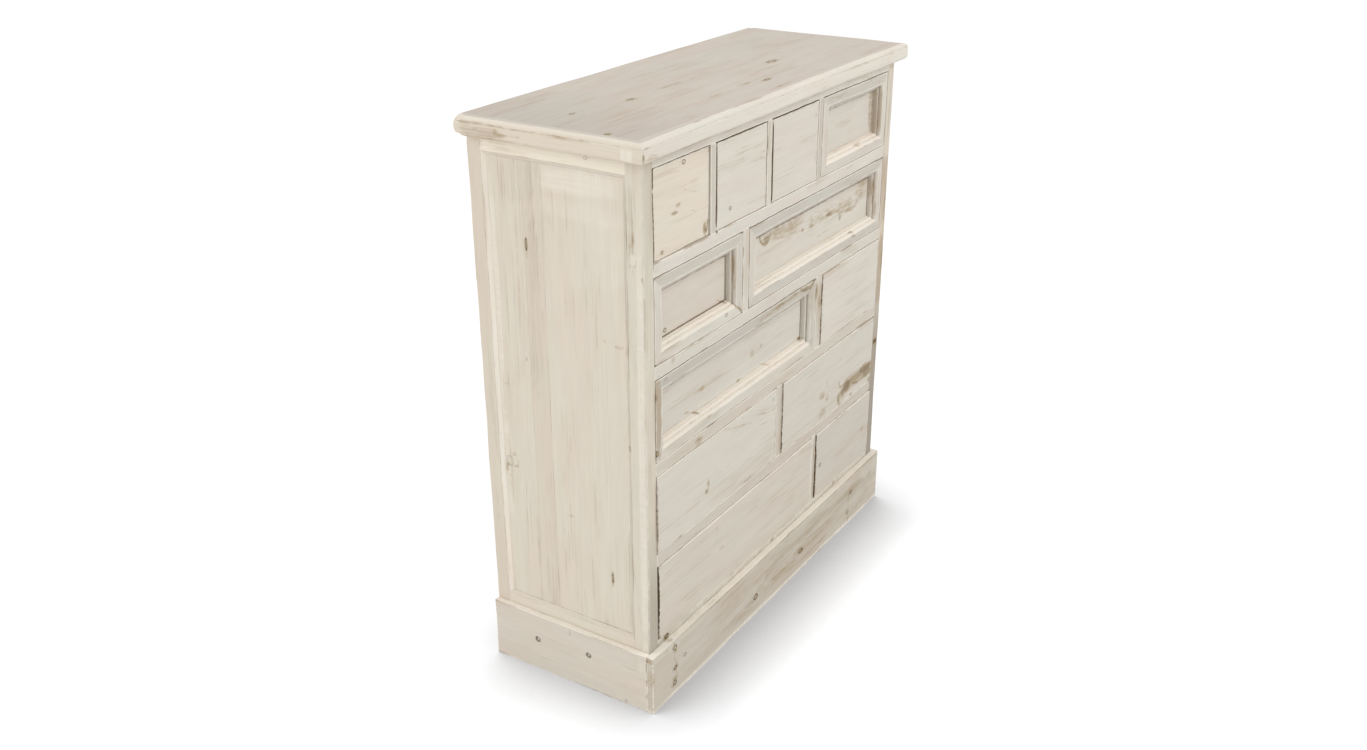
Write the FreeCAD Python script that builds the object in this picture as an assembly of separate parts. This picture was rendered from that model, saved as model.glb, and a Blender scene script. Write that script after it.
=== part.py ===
import FreeCAD, Part
import os
from FreeCAD import Vector

# Chest of twelve drawers in five rows, of limed reclaimed pine: frame-and-panel sides, front rails and
# dividers tenoned into four posts, wooden runners and guides, an applied plinth and a moulded top.
# Frame: origin at the middle of the footprint on the floor, +Z up, the drawer fronts face -Y.

# ---- Case ----
case_width = 800.0
case_depth = 300.0
post_width = 23.0            # across the front, and the thickness of the side frames
front_post_flat = 28.0       # flat of the front posts on the side of the case, up to their bevel
back_post_flat = 24.0
side_rail_foot = 40.0        # lower edge of the bottom side rails above the floor
side_low_flat = 121.0        # height of the flat of the bottom side rails
side_top_flat = 22.0         # flat of the top side rails, down from the top of the case
side_bevel = 6.0             # width of the bevel round each side panel
side_recess = 4.0            # depth of the panels behind the side frames
side_panel_thickness = 8.0
panel_tongue = 6.0           # how far a panel goes into its groove
groove_spare = 1.0           # room for the panel to swell
side_stave_widths = (147.0, 33.0)    # staves of a side panel from the front, the last takes the rest

# ---- Rows of drawers, from the floor up ----
plinth_height = 104.0
bottom_rail_show = 11.0      # bottom rail above the plinth
bottom_rail_height = 35.0
row_height = 134.0           # height of each drawer opening
rail_height = 20.5
top_rail_height = 15.0
rail_depth = 34.0            # front to back, of the front rails and dividers
rail_tenon = 10.0
rail_tenon_front = 4.0       # from the face of a rail to its tenon
rail_tenon_thickness = 8.0
rail_tenon_shoulder = 3.5    # above and below a rail's tenon
side_tenon = 12.0
side_tenon_thickness = 7.0
side_tenon_back = 2.5        # from the inner face of a side rail to its tenon
side_tenon_shoulder = 5.0
divider_tenon = 5.0
divider_tenon_front = 10.0
divider_tenon_thickness = 8.0
divider_tenon_shoulder = 4.0
tenon_clearance = 0.2

# Each row, top row first: the openings from the left, the last of which takes what is left of the width,
# as (opening width, thickness of the divider on its right), and how each drawer's front is made.
# A set-back is how far a front lies behind the face of the rails, and is below zero where it stands proud.
top_row = {"openings": ((151.0, 14.0), (153.0, 14.0), (156.5, 14.0)),
           "fronts": ("flat", "flat", "flat", "framed"), "set_backs": (3.0, 1.4, 0.8, 0.4)}
second_row = {"openings": ((248.0, 18.0),),
              "fronts": ("framed", "framed"), "set_backs": (0.6, 0.4)}
third_row = {"openings": ((503.0, 22.0),),
             "fronts": ("framed", "flat"), "set_backs": (0.2, -0.5)}
fourth_row = {"openings": ((369.5, 20.0),),
              "fronts": ("flat", "flat"), "set_backs": (0.0, -0.8)}
bottom_row = {"openings": ((508.5, 16.0),),
              "fronts": ("flat", "flat"), "set_backs": (-1.6, -1.8)}
rows = (top_row, second_row, third_row, fourth_row, bottom_row)

# ---- Runners, guides and back ----
runner_width = 22.0          # beyond the divider or the post that the runner follows
guide_height = 20.0
back_rail_thickness = 18.0
back_rail_lip = 10.0         # how far a back rail stands above the runners, to stop the drawers
back_top_rail_height = 40.0
back_board_thickness = 6.0
back_board_count = 6
back_board_lap = 13.0        # how far the back boards lie over each back post
back_board_chamfer = 1.5

# ---- Drawers ----
front_thickness = 20.0
front_gap_left = 2.8
front_gap_right = 1.2
front_gap_top = 2.0
front_gap_bottom = 1.0
frame_flat = 16.5            # flat of a framed front, from its outer edge to the moulding
moulding_width = 11.0
moulding_recess = 14.0       # depth of the panel behind the frame's face
moulding_round = 4.5         # radius of the outer ovolo
moulding_step = 1.3          # depth of the step below the ovolo
moulding_fillet = 1.3        # width of the step
moulding_hollow = 3.6        # radius of the inner ovolo
front_panel_lap = 5.0        # how far a panel lies behind the moulding
front_panel_spare = 0.5
box_inset = 0.6              # from the front's ends to the sides of the box
box_wall = 9.0
box_height = 118.0
bottom_thickness = 4.0
bottom_groove_height = 6.0   # from the lower edge of the sides to the groove
bottom_groove_depth = 4.0
bottom_groove_spare = 0.3
box_stop_gap = 0.5           # between a closed drawer and the lip of the back rail

# ---- Plinth ----
plinth_front_thickness = 12.0
plinth_side_thickness = 10.0
screw_places = ((112.0, 65.0), (213.0, 57.0))    # behind the case's face, above the floor
screw_length = 30.0
screw_shank_radius = 2.2
screw_head_radius = 4.4
screw_head_height = 2.6
screw_sink = 1.6             # depth of the head below the plinth's face
screw_recess_radius = 5.2
screw_slot_width = 1.1
screw_slot_depth = 1.0
screw_fit = 0.1

# ---- Top ----
top_thickness = 28.0
top_overhang_side = 22.0
top_overhang_front = 15.0
top_overhang_back = 3.0
edging_width = 20.0
edging_top_round = 8.0       # inset of the upper round
edging_top_drop = 6.5        # height of the upper round
edging_quirk = 0.8           # depth and height of the small step under it
edging_low_round = 7.0
top_board_widths = (46.0, 84.0, 120.0)    # from the front, the last board takes the rest

# ---- Places worked out from the sizes ----
case_left = -case_width / 2
case_right = case_width / 2
top_depth = case_depth + top_overhang_front + top_overhang_back
case_front = -top_depth / 2 + top_overhang_front
case_back = case_front + case_depth
first_opening = plinth_height + bottom_rail_show
case_top = first_opening + len(rows) * row_height + (len(rows) - 1) * rail_height + top_rail_height
openings_left = case_left + post_width
openings_right = case_right - post_width
front_post_depth = front_post_flat + side_bevel
back_post_depth = back_post_flat + side_bevel
runner_front = case_front + rail_depth
runner_back = case_back - back_board_thickness - back_rail_thickness


def block(x0, x1, y0, y1, z0, z1):
    """A box between two corners."""
    return Part.makeBox(x1 - x0, y1 - y0, z1 - z0, Vector(x0, y0, z0))


def prism(points, along):
    """A flat outline carried straight along a vector."""
    corners = [Vector(*point) for point in points]
    return Part.Face(Part.makePolygon(corners + corners[:1])).extrude(Vector(*along))


def mirrored(shape):
    """The same piece on the other side of the case."""
    return shape.mirror(Vector(0, 0, 0), Vector(1, 0, 0))


def save(node, pieces):
    """One node: a solid, or a group of separate solids."""
    solids = [solid for piece in pieces for solid in piece.Solids]
    shape = solids[0] if len(solids) == 1 else Part.makeCompound(solids)
    shape.exportStep("parts/" + node + ".step")


def opening_bottom(row):
    """Height of the floor of a row's openings, row 0 at the top."""
    return first_opening + (len(rows) - 1 - row) * (row_height + rail_height)


def row_openings(row):
    """Left and right edges of a row's drawer openings."""
    edges = []
    left = openings_left
    for width, divider in rows[row]["openings"]:
        edges.append((left, left + width))
        left += width + divider
    return edges + [(left, openings_right)]


def row_dividers(row):
    """Left and right faces of a row's dividers."""
    edges = row_openings(row)
    return [(left[1], right[0]) for left, right in zip(edges, edges[1:])]


# ---- Front rails and dividers ----
def rail_levels():
    """Lower and upper faces of the front rails, the top rail first."""
    levels = [(case_top - top_rail_height, case_top)]
    for row in range(len(rows) - 1):
        levels.append((opening_bottom(row) - rail_height, opening_bottom(row)))
    return levels + [(first_opening - bottom_rail_height, first_opening)]


def rail_tenons(low, high, spare):
    """The two end tenons of a front rail, or their mortises when given a clearance."""
    y0 = case_front + rail_tenon_front - spare
    y1 = case_front + rail_tenon_front + rail_tenon_thickness + spare
    z0 = low + rail_tenon_shoulder - spare
    z1 = high - rail_tenon_shoulder + spare
    reach = rail_tenon + spare
    left = block(openings_left - reach, openings_left, y0, y1, z0, z1)
    right = block(openings_right, openings_right + reach, y0, y1, z0, z1)
    return [left, right]


def divider_tenons(left, right, row, spare):
    """The two stub tenons of a divider, or their mortises when given a clearance."""
    x0 = left + divider_tenon_shoulder - spare
    x1 = right - divider_tenon_shoulder + spare
    y0 = case_front + divider_tenon_front - spare
    y1 = case_front + divider_tenon_front + divider_tenon_thickness + spare
    floor = opening_bottom(row)
    ceiling = floor + row_height
    reach = divider_tenon + spare
    return [block(x0, x1, y0, y1, floor - reach, floor), block(x0, x1, y0, y1, ceiling, ceiling + reach)]


def front_rails():
    mortises = []
    for row in range(len(rows)):
        for left, right in row_dividers(row):
            mortises += divider_tenons(left, right, row, tenon_clearance)
    rails = []
    for low, high in rail_levels():
        rail = block(openings_left, openings_right, case_front, case_front + rail_depth, low, high)
        rails.append(rail.fuse(rail_tenons(low, high, 0)).removeSplitter().cut(mortises))
    return rails


def drawer_dividers():
    dividers = []
    for row in range(len(rows)):
        floor = opening_bottom(row)
        for left, right in row_dividers(row):
            body = block(left, right, case_front, case_front + rail_depth, floor, floor + row_height)
            dividers.append(body.fuse(divider_tenons(left, right, row, 0)).removeSplitter())
    return dividers


# ---- Side frames, modelled on the left ----
flat_front = case_front + front_post_flat
flat_back = case_back - back_post_flat
flat_low = side_low_flat
flat_high = case_top - side_top_flat
sight_front = flat_front + side_bevel
sight_back = flat_back - side_bevel
sight_low = flat_low + side_bevel
sight_high = flat_high - side_bevel


def side_rectangle(x, front, back, low, high):
    """A closed rectangle in a plane across the case."""
    corners = [Vector(x, front, low), Vector(x, back, low), Vector(x, back, high), Vector(x, front, high)]
    return Part.makePolygon(corners + corners[:1])


def side_frame():
    """The whole left frame before it is cut into posts and rails: bevelled opening and panel groove."""
    inner = case_left + post_width
    frame = block(case_left, inner, case_front, case_back, 0, case_top)
    wide = side_rectangle(case_left, flat_front, flat_back, flat_low, flat_high)
    narrow = side_rectangle(case_left + side_recess, sight_front, sight_back, sight_low, sight_high)
    bevel = Part.makeLoft([wide, narrow], True, True)
    hole = block(case_left + side_recess, inner, sight_front, sight_back, sight_low, sight_high)
    reach = panel_tongue + groove_spare
    groove = block(case_left + side_recess, case_left + side_recess + side_panel_thickness,
                   sight_front - reach, sight_back + reach, sight_low - reach, sight_high + reach)
    foot = block(case_left, inner, flat_front, flat_back, 0, side_rail_foot)
    return frame.cut([bevel, hole, groove, foot])


def post_region(outer, flat, sight):
    """What a post takes of the side frame, mitred with the rails across the bevel."""
    points = [(outer, 0), (flat, 0), (flat, flat_low), (sight, sight_low), (sight, sight_high),
              (flat, flat_high), (flat, case_top), (outer, case_top)]
    return prism([(case_left, y, z) for y, z in points], (post_width, 0, 0))


def side_rail_tenons(low, high, spare):
    """Tenons of a side rail into the front and back posts, or their mortises."""
    x1 = case_left + post_width - side_tenon_back + spare
    x0 = x1 - side_tenon_thickness - 2 * spare
    z0 = low + side_tenon_shoulder - spare
    z1 = high - side_tenon_shoulder + spare
    reach = side_tenon + spare
    return [block(x0, x1, flat_front - reach, flat_front, z0, z1),
            block(x0, x1, flat_back, flat_back + reach, z0, z1)]


side_rail_spans = ((side_rail_foot, flat_low), (flat_high, case_top))


def side_posts():
    """The front and the back post of the left side."""
    frame = side_frame()
    mortises = []
    for low, high in side_rail_spans:
        mortises += side_rail_tenons(low, high, tenon_clearance)
    for low, high in rail_levels():
        mortises.append(rail_tenons(low, high, tenon_clearance)[0])
    front = frame.common(post_region(case_front, flat_front, sight_front)).cut(mortises)
    back = frame.common(post_region(case_back, flat_back, sight_back)).cut(mortises)
    rebate = block(case_left + post_width - back_board_lap, case_left + post_width,
                   case_back - back_board_thickness, case_back, side_rail_foot, case_top)
    return front, back.cut(rebate)


def side_rails():
    """The bottom and top rail of the left side."""
    frame = side_frame()
    regions = [post_region(case_front, flat_front, sight_front), post_region(case_back, flat_back, sight_back)]
    rails = frame.cut(regions).Solids
    rails.sort(key=lambda rail: rail.CenterOfMass.z)
    fitted = []
    for rail, (low, high) in zip(rails, side_rail_spans):
        fitted.append(rail.fuse(side_rail_tenons(low, high, 0)).removeSplitter())
    return fitted


def side_panel():
    """The left panel, glued up of upright staves, standing in the groove."""
    x0 = case_left + side_recess
    x1 = x0 + side_panel_thickness
    front = sight_front - panel_tongue
    back = sight_back + panel_tongue
    seams = [front]
    for width in side_stave_widths:
        seams.append(seams[-1] + width)
    seams.append(back)
    low = sight_low - panel_tongue
    high = sight_high + panel_tongue
    return [block(x0, x1, y0, y1, low, high) for y0, y1 in zip(seams, seams[1:])]


# ---- Back, runners and guides ----
def back_rails():
    """A rail behind each front rail, with a lip above the runners on all but the top one."""
    rails = [(case_top - back_top_rail_height, case_top)]
    for low, high in rail_levels()[1:]:
        rails.append((low, high + back_rail_lip))
    back = case_back - back_board_thickness
    return [block(openings_left, openings_right, runner_back, back, low, high) for low, high in rails]


def back_boards():
    """Upright boards nailed into the rebates of the back posts, with chamfered edges."""
    left = openings_left - back_board_lap
    width = (openings_right - openings_left + 2 * back_board_lap) / back_board_count
    boards = []
    for place in range(back_board_count):
        x0 = left + place * width
        outline = [(x0, case_back - back_board_thickness), (x0 + width, case_back - back_board_thickness),
                   (x0 + width, case_back - back_board_chamfer), (x0 + width - back_board_chamfer, case_back),
                   (x0 + back_board_chamfer, case_back), (x0, case_back - back_board_chamfer)]
        boards.append(prism([(x, y, side_rail_foot) for x, y in outline], (0, 0, case_top - side_rail_foot)))
    return boards


def drawer_runners():
    """Flat strips level with the rails, on which the drawer sides slide."""
    runners = []
    for row in range(len(rows)):
        high = opening_bottom(row)
        spans = [(openings_left, openings_left + runner_width), (openings_right - runner_width, openings_right)]
        spans += [(left - runner_width, right + runner_width) for left, right in row_dividers(row)]
        for x0, x1 in spans:
            runners.append(block(x0, x1, runner_front, runner_back, high - rail_height, high))
    return runners


def drawer_guides():
    """Strips that keep the drawers straight: at the side panels, and on the runners behind the dividers.

    The bottom row has none at the sides, because the bottom side rails stand above its runners."""
    guides = []
    panel_face = case_left + side_recess + side_panel_thickness
    for row in range(len(rows)):
        floor = opening_bottom(row)
        if row < len(rows) - 1:
            side = block(panel_face, openings_left, case_front + front_post_depth, case_back - back_post_depth,
                         floor - rail_height, floor + guide_height)
            guides += [side, mirrored(side)]
        for left, right in row_dividers(row):
            guides.append(block(left, right, runner_front, runner_back, floor, floor + guide_height))
    return guides


# ---- Drawers ----
def moulded_member(length):
    """A member of a framed front along X: outer edge at z 0, face at y 0, panel rebate at the back."""
    a = frame_flat
    b = a + moulding_round
    c = b + moulding_fillet
    d = moulding_round + moulding_step
    e = c + moulding_hollow
    width = frame_flat + moulding_width
    bend = 2 ** -0.5
    ovolo = Part.Arc(Vector(0, 0, a), Vector(0, moulding_round * (1 - bend), a + moulding_round * bend),
                     Vector(0, moulding_round, b)).toShape()
    inner = Part.Arc(Vector(0, d, c), Vector(0, d + moulding_hollow * (1 - bend), c + moulding_hollow * bend),
                     Vector(0, d + moulding_hollow, e)).toShape()
    step = Part.makePolygon([Vector(0, moulding_round, b), Vector(0, d, b), Vector(0, d, c)])
    rebate = width - front_panel_lap
    rest = [(d + moulding_hollow, e), (moulding_recess - moulding_step, e), (moulding_recess - moulding_step, width),
            (moulding_recess, width), (moulding_recess, rebate), (front_thickness, rebate), (front_thickness, 0),
            (0, 0), (0, a)]
    back = Part.makePolygon([Vector(0, y, z) for y, z in rest])
    outline = Part.Wire([ovolo] + step.Edges + [inner] + back.Edges)
    bar = Part.Face(outline).extrude(Vector(length, 0, 0))
    mitre = prism([(0, 0, 0), (length, 0, 0), (length - width, 0, width), (width, 0, width)],
                  (0, front_thickness, 0))
    return bar.common(mitre)


def framed_front(x0, x1, y0, z0, z1):
    """Four mitred members round a panel: bottom, right, top and left."""
    members = []
    middle = Vector((x0 + x1) / 2, y0, (z0 + z1) / 2)
    for turn, (length, breadth) in enumerate(((x1 - x0, z1 - z0), (z1 - z0, x1 - x0)) * 2):
        member = moulded_member(length)
        member.translate(Vector(-length / 2, 0, -breadth / 2))
        member.rotate(Vector(0, 0, 0), Vector(0, 1, 0), -90 * turn)
        member.translate(middle)
        members.append(member)
    return members


def front_panel(x0, x1, y0, z0, z1):
    """The recessed panel, lying in the rebates behind the moulding."""
    inset = frame_flat + moulding_width - front_panel_lap + front_panel_spare
    return block(x0 + inset, x1 - inset, y0 + moulding_recess, y0 + front_thickness, z0 + inset, z1 - inset)


def drawer_box(x0, x1, y0, z0):
    """Two sides with a front and a back between them, grooved for the bottom, and the bottom itself."""
    y1 = runner_back - box_stop_gap
    z1 = z0 + box_height
    inner_left = x0 + box_wall
    inner_right = x1 - box_wall
    inner_front = y0 + box_wall
    inner_back = y1 - box_wall
    groove_low = z0 + bottom_groove_height
    groove = block(inner_left - bottom_groove_depth, inner_right + bottom_groove_depth,
                   inner_front - bottom_groove_depth, inner_back + bottom_groove_depth,
                   groove_low, groove_low + bottom_thickness + bottom_groove_spare)
    walls = [block(x0, inner_left, y0, y1, z0, z1), block(inner_right, x1, y0, y1, z0, z1),
             block(inner_left, inner_right, y0, inner_front, z0, z1),
             block(inner_left, inner_right, inner_back, y1, z0, z1)]
    reach = bottom_groove_depth - bottom_groove_spare
    bottom = block(inner_left - reach, inner_right + reach, inner_front - reach, inner_back + reach,
                   groove_low, groove_low + bottom_thickness)
    return [wall.cut(groove) for wall in walls], bottom


def save_drawers():
    number = 0
    for row, layout in enumerate(rows):
        z0 = opening_bottom(row) + front_gap_bottom
        z1 = opening_bottom(row) + row_height - front_gap_top
        for (left, right), kind, set_back in zip(row_openings(row), layout["fronts"], layout["set_backs"]):
            number += 1
            name = "drawer_{:02d}_".format(number)
            x0 = left + front_gap_left
            x1 = right - front_gap_right
            y0 = case_front + set_back
            if kind == "framed":
                save(name + "front", framed_front(x0, x1, y0, z0, z1))
                save(name + "panel", [front_panel(x0, x1, y0, z0, z1)])
            else:
                save(name + "front", [block(x0, x1, y0, y0 + front_thickness, z0, z1)])
            walls, bottom = drawer_box(x0 + box_inset, x1 - box_inset, y0 + front_thickness, opening_bottom(row))
            save(name + "box", walls)
            save(name + "bottom", [bottom])


# ---- Plinth ----
plinth_left_face = case_left - plinth_side_thickness


def screw_axis(place):
    """Where a plinth screw's axis meets the left plinth face."""
    return Vector(plinth_left_face, case_front + place[0], place[1])


def plinth_screw(place, spare):
    """A slotted countersunk wood screw driven to the right, or the hole for it when given a clearance."""
    mouth = screw_axis(place) + Vector(screw_sink, 0, 0)
    inward = Vector(1, 0, 0)
    head = Part.makeCone(screw_head_radius + spare, screw_shank_radius + spare, screw_head_height, mouth, inward)
    shank = Part.makeCylinder(screw_shank_radius + spare, screw_length - screw_sink, mouth, inward)
    return head.fuse(shank).removeSplitter()


def plinth_screws():
    screws = []
    for place in screw_places:
        mouth = screw_axis(place) + Vector(screw_sink, 0, 0)
        slot = block(mouth.x, mouth.x + screw_slot_depth, mouth.y - screw_head_radius, mouth.y + screw_head_radius,
                     mouth.z - screw_slot_width / 2, mouth.z + screw_slot_width / 2)
        screws.append(plinth_screw(place, 0).cut(slot))
    return screws + [mirrored(screw) for screw in screws]


def screw_holes():
    """Sunk holes for the left plinth screws, through the plinth board and into the rail behind it."""
    holes = []
    for place in screw_places:
        recess = Part.makeCylinder(screw_recess_radius, screw_sink, screw_axis(place), Vector(1, 0, 0))
        holes += [recess, plinth_screw(place, screw_fit)]
    return holes


def plinth_side():
    """The left plinth board, screwed to the bottom side rail."""
    board = block(plinth_left_face, case_left, case_front, case_back, 0, plinth_height)
    return board.cut(screw_holes())


def plinth_front():
    """The front plinth board, whose ends cover the side boards."""
    return block(plinth_left_face, -plinth_left_face, case_front - plinth_front_thickness, case_front,
                 0, plinth_height)


# ---- Top ----
top_left = case_left - top_overhang_side
top_front = -top_depth / 2
top_back = top_depth / 2


def edging_bar(length):
    """The edging's section carried along X: an upper round over a quirk, a flat face and a lower round."""
    top = top_thickness
    shoulder = top - edging_top_drop
    bend = 2 ** -0.5
    rise = edging_top_round - edging_quirk
    upper_middle = Vector(0, edging_top_round - rise * bend, shoulder + edging_top_drop * bend)
    upper = Part.Arc(Vector(0, edging_quirk, shoulder), upper_middle, Vector(0, edging_top_round, top)).toShape()
    lower_middle = Vector(0, edging_low_round * (1 - bend), edging_low_round * (1 - bend))
    lower = Part.Arc(Vector(0, edging_low_round, 0), lower_middle, Vector(0, 0, edging_low_round)).toShape()
    back = Part.makePolygon([Vector(0, edging_top_round, top), Vector(0, edging_width, top),
                             Vector(0, edging_width, 0), Vector(0, edging_low_round, 0)])
    face = Part.makePolygon([Vector(0, 0, edging_low_round), Vector(0, 0, shoulder - edging_quirk),
                             Vector(0, edging_quirk, shoulder)])
    outline = Part.Wire([upper] + back.Edges + [lower] + face.Edges)
    return Part.Face(outline).extrude(Vector(length, 0, 0))


def top_edging():
    """Front, left and right edging, mitred at the two front corners."""
    length = -2 * top_left
    front = edging_bar(length)
    front.translate(Vector(top_left, top_front, case_top))
    mitre = prism([(top_left, top_front, case_top), (-top_left, top_front, case_top),
                   (-top_left - edging_width, top_front + edging_width, case_top),
                   (top_left + edging_width, top_front + edging_width, case_top)], (0, 0, top_thickness))
    side = edging_bar(top_depth)
    side.rotate(Vector(0, 0, 0), Vector(0, 0, 1), -90)
    side.translate(Vector(top_left, top_back, case_top))
    side_mitre = prism([(top_left, top_front, case_top), (top_left + edging_width, top_front + edging_width, case_top),
                        (top_left + edging_width, top_back, case_top), (top_left, top_back, case_top)],
                       (0, 0, top_thickness))
    left = side.common(side_mitre)
    return [front.common(mitre), left, mirrored(left)]


def top_boards():
    """Boards glued side by side within the edging."""
    x0 = top_left + edging_width
    seams = [top_front + edging_width]
    for width in top_board_widths:
        seams.append(seams[-1] + width)
    seams.append(top_back)
    return [block(x0, -x0, y0, y1, case_top, case_top + top_thickness) for y0, y1 in zip(seams, seams[1:])]


def main():
    os.makedirs("parts", exist_ok=True)
    front_post, back_post = side_posts()
    rails = [rail.cut(screw_holes()) for rail in side_rails()]
    panel = side_panel()
    plinth_board = plinth_side()
    save("post_front_left", [front_post])
    save("post_front_right", [mirrored(front_post)])
    save("post_back_left", [back_post])
    save("post_back_right", [mirrored(back_post)])
    save("side_rails_left", rails)
    save("side_rails_right", [mirrored(rail) for rail in rails])
    save("side_panel_left", panel)
    save("side_panel_right", [mirrored(stave) for stave in panel])
    save("front_rails", front_rails())
    save("drawer_dividers", drawer_dividers())
    save("back_rails", back_rails())
    save("back_boards", back_boards())
    save("drawer_runners", drawer_runners())
    save("drawer_guides", drawer_guides())
    save("plinth_front", [plinth_front()])
    save("plinth_left", [plinth_board])
    save("plinth_right", [mirrored(plinth_board)])
    save("plinth_screws", plinth_screws())
    save("top_boards", top_boards())
    save("top_edging", top_edging())
    save_drawers()


main()
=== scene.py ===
"""The looks of a chest of twelve drawers in limed reclaimed pine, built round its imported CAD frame.

Every stick of timber is a surface worked out with numpy, either a board with worn edges or a moulding carried
along a line. It holds the fields that its finish reads: where the grain runs, its knots, its stains and its
edges.
"""
import math
import zlib
from collections import namedtuple

import bpy
import numpy as np
from bpy.props import FloatProperty, FloatVectorProperty, IntProperty, PointerProperty
from mathutils import Matrix, Vector


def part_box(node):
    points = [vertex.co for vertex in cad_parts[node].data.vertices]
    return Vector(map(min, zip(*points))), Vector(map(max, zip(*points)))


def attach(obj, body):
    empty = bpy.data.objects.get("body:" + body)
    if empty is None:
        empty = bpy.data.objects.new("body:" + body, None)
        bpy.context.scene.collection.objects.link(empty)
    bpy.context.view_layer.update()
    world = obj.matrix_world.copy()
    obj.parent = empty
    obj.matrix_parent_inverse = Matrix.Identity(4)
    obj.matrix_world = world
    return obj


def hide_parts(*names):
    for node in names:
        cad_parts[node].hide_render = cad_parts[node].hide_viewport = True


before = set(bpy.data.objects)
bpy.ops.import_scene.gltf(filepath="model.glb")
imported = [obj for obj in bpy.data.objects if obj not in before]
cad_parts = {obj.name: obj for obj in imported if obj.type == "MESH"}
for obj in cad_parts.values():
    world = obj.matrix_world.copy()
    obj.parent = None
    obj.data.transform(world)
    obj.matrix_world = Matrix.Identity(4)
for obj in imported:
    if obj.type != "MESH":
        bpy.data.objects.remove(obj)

bl_info = {
    "name": "Chest of twelve drawers",
    "version": (1, 0, 0),
    "blender": (4, 5, 0),
    "location": "3D View > Sidebar > Chest",
    "description": "Limed pine looks for a chest of twelve drawers",
    "category": "Object",
}

# ---- Places taken from the frame, in metres ----
case_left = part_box("post_front_left")[0].x
case_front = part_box("post_front_left")[0].y
case_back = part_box("post_back_left")[1].y
case_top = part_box("post_front_left")[1].z
openings_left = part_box("post_front_left")[1].x
openings_right = -openings_left
drawer_count = sum(name.endswith("_box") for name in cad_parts)

# ---- Sizes of the joinery, in metres ----
DIVIDER_TENON = 0.005
SIDE_BEVEL = 0.006
BEVEL_SPACING = 0.0015
BACK_BOARD_LAP = 0.013
BACK_BOARD_THICKNESS = 0.006
BACK_BOARD_COUNT = 6
TOP_BOARD_WIDTHS = (0.046, 0.084, 0.120)
STAVE_WIDTHS = (0.147, 0.033)
BOX_WALL = 0.009
RUNNING_CLEARANCE = 0.0002
FRAME_FLAT = 0.0165
FRAME_WIDTH = 0.0275
PANEL_LAP = 0.005
PANEL_RECESS = 0.014
OVOLO = 0.0045
MOULDING_STEP = 0.0013
INNER_OVOLO = 0.0036
FRAME_CORNER = 0.005
EDGING_WIDTH = 0.020
EDGING_QUIRK = 0.0008
EDGING_TOP_ROUND = (0.0080, 0.0065)
EDGING_LOW_ROUND = 0.007
EDGING_END_ROUND = 0.014
EDGING_END_LEAN = 0.7
EDGING_SPACING = 0.0022
SCREW_PLACES = ((0.112, 0.065), (0.213, 0.057))
SCREW_RECESS_RADIUS = 0.0052
SCREW_RECESS_DEPTH = 0.0026
# Half the width of the recess's sloping wall, and the start, end and spacing of the grid lines round a screw.
SCREW_RECESS_WALL = 0.0003
SCREW_GRID = (-0.0063, 0.0064, 0.0004)
# The grid lines round a row of nails, the nails' places as shares of a board's width, and their radius in mm.
NAIL_GRID = (-0.003, -0.0015, 0, 0.0015, 0.003)
NAIL_PLACES = (0.2, 0.8)
NAIL_RADIUS_MM = 1.3

# ---- Wear and dirt, in metres or as shares ----
# The most of its thickness that a board's worn edge takes.
THICKEST_ARRIS = 0.45
LEAST_ARRIS = 0.0002
# Shares by which the radius of an arris wanders, and the lengths of that wandering.
ARRIS_WANDER = ((0.6, 0.025), (0.4, 0.008))
WARP_LENGTH = 0.12
# How much less the edges of glued boards, and of the side frames, are worn than open ones.
JOINT_WEAR = 0.35
FRAME_WEAR = 0.6
# How deep dirt and painted shade reach behind a drawer's face, and how far they reach out of a corner.
DIRT_AND_SHADE_DEPTH = 0.004
DIRT_AND_SHADE_REACH = 0.0014
# How much dirt and painted shade a side panel has along the bevels round it, and how far that reaches.
BEVEL_DIRT_AND_SHADE = 0.15
BEVEL_DIRT_AND_SHADE_REACH = 0.003
# How much the brightness of sticks varies, and their hue.
STICK_VARIETY = (0.012, 0.004)
# How far the grain's bend round a knot reaches along and across, in knot sizes, and how strong it is.
BEND_REACH = (5, 3.5)
BEND_STRENGTH = 0.85
# Beyond this many knot sizes nothing of a knot shows, and a point is as if this far from any.
KNOT_REACH = 2.2
FAR_FROM_KNOTS = 9
# The range of the chance knots' radii in mm, of their stretch and of their depth.
CHANCE_KNOTS = ((1.5, 4), (1.0, 2.0), (0.15, 0.7))
# Where the outline of a block of wash or dirt fades, in its half lengths, and how it wanders.
BLOCK_FADE = (0.75, 1.25)
BLOCK_WANDER = (0.15, 0.03)
# Edges between faces that turn by more than this are drawn sharp.
SHARP_TURN = math.radians(38)

# Distances from a board's edge at which its grid has lines, where it shows and where it doesn't.
SHOWN_EDGE_LINES = (0, 0.0004, 0.0009, 0.0015, 0.0023, 0.0036)
PLAIN_EDGE_LINES = (0, 0.0005, 0.0012)

# The planes in which marks are placed, as their two world axes.
FRONT, SIDE, TOP = (0, 2), (1, 2), (0, 1)

# Marks are placed in mm along and up their plane from the left front foot of the case. A knot's size is its
# radius across the grain, and stretch times that along the grain. Its depth is how dark it is, from 0 to 1.
Knot = namedtuple("Knot", "u v size stretch depth")
# A stain is an ellipse with its half length and half height, and how strong it is, from 0 to 1.
Stain = namedtuple("Stain", "u v length height strength")
# A trail is a stained line through places (u, v), with its half width.
Trail = namedtuple("Trail", "places width strength")
# A wash is a soft block with its half length and half height, where the lime is thicker, to 1, or thinner, to
# -1.
Wash = namedtuple("Wash", "u v length height strength")
# Dirt is a soft block of brown dirt, as on an open or sawn edge. On the front some blocks also stand as
# painted shade, in the gaps and under the top rail.
Dirt = namedtuple("Dirt", "u v length height strength")
Marks = namedtuple("Marks", "knots stains trails washes dirt", defaults=((), (), (), (), ()))


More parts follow.
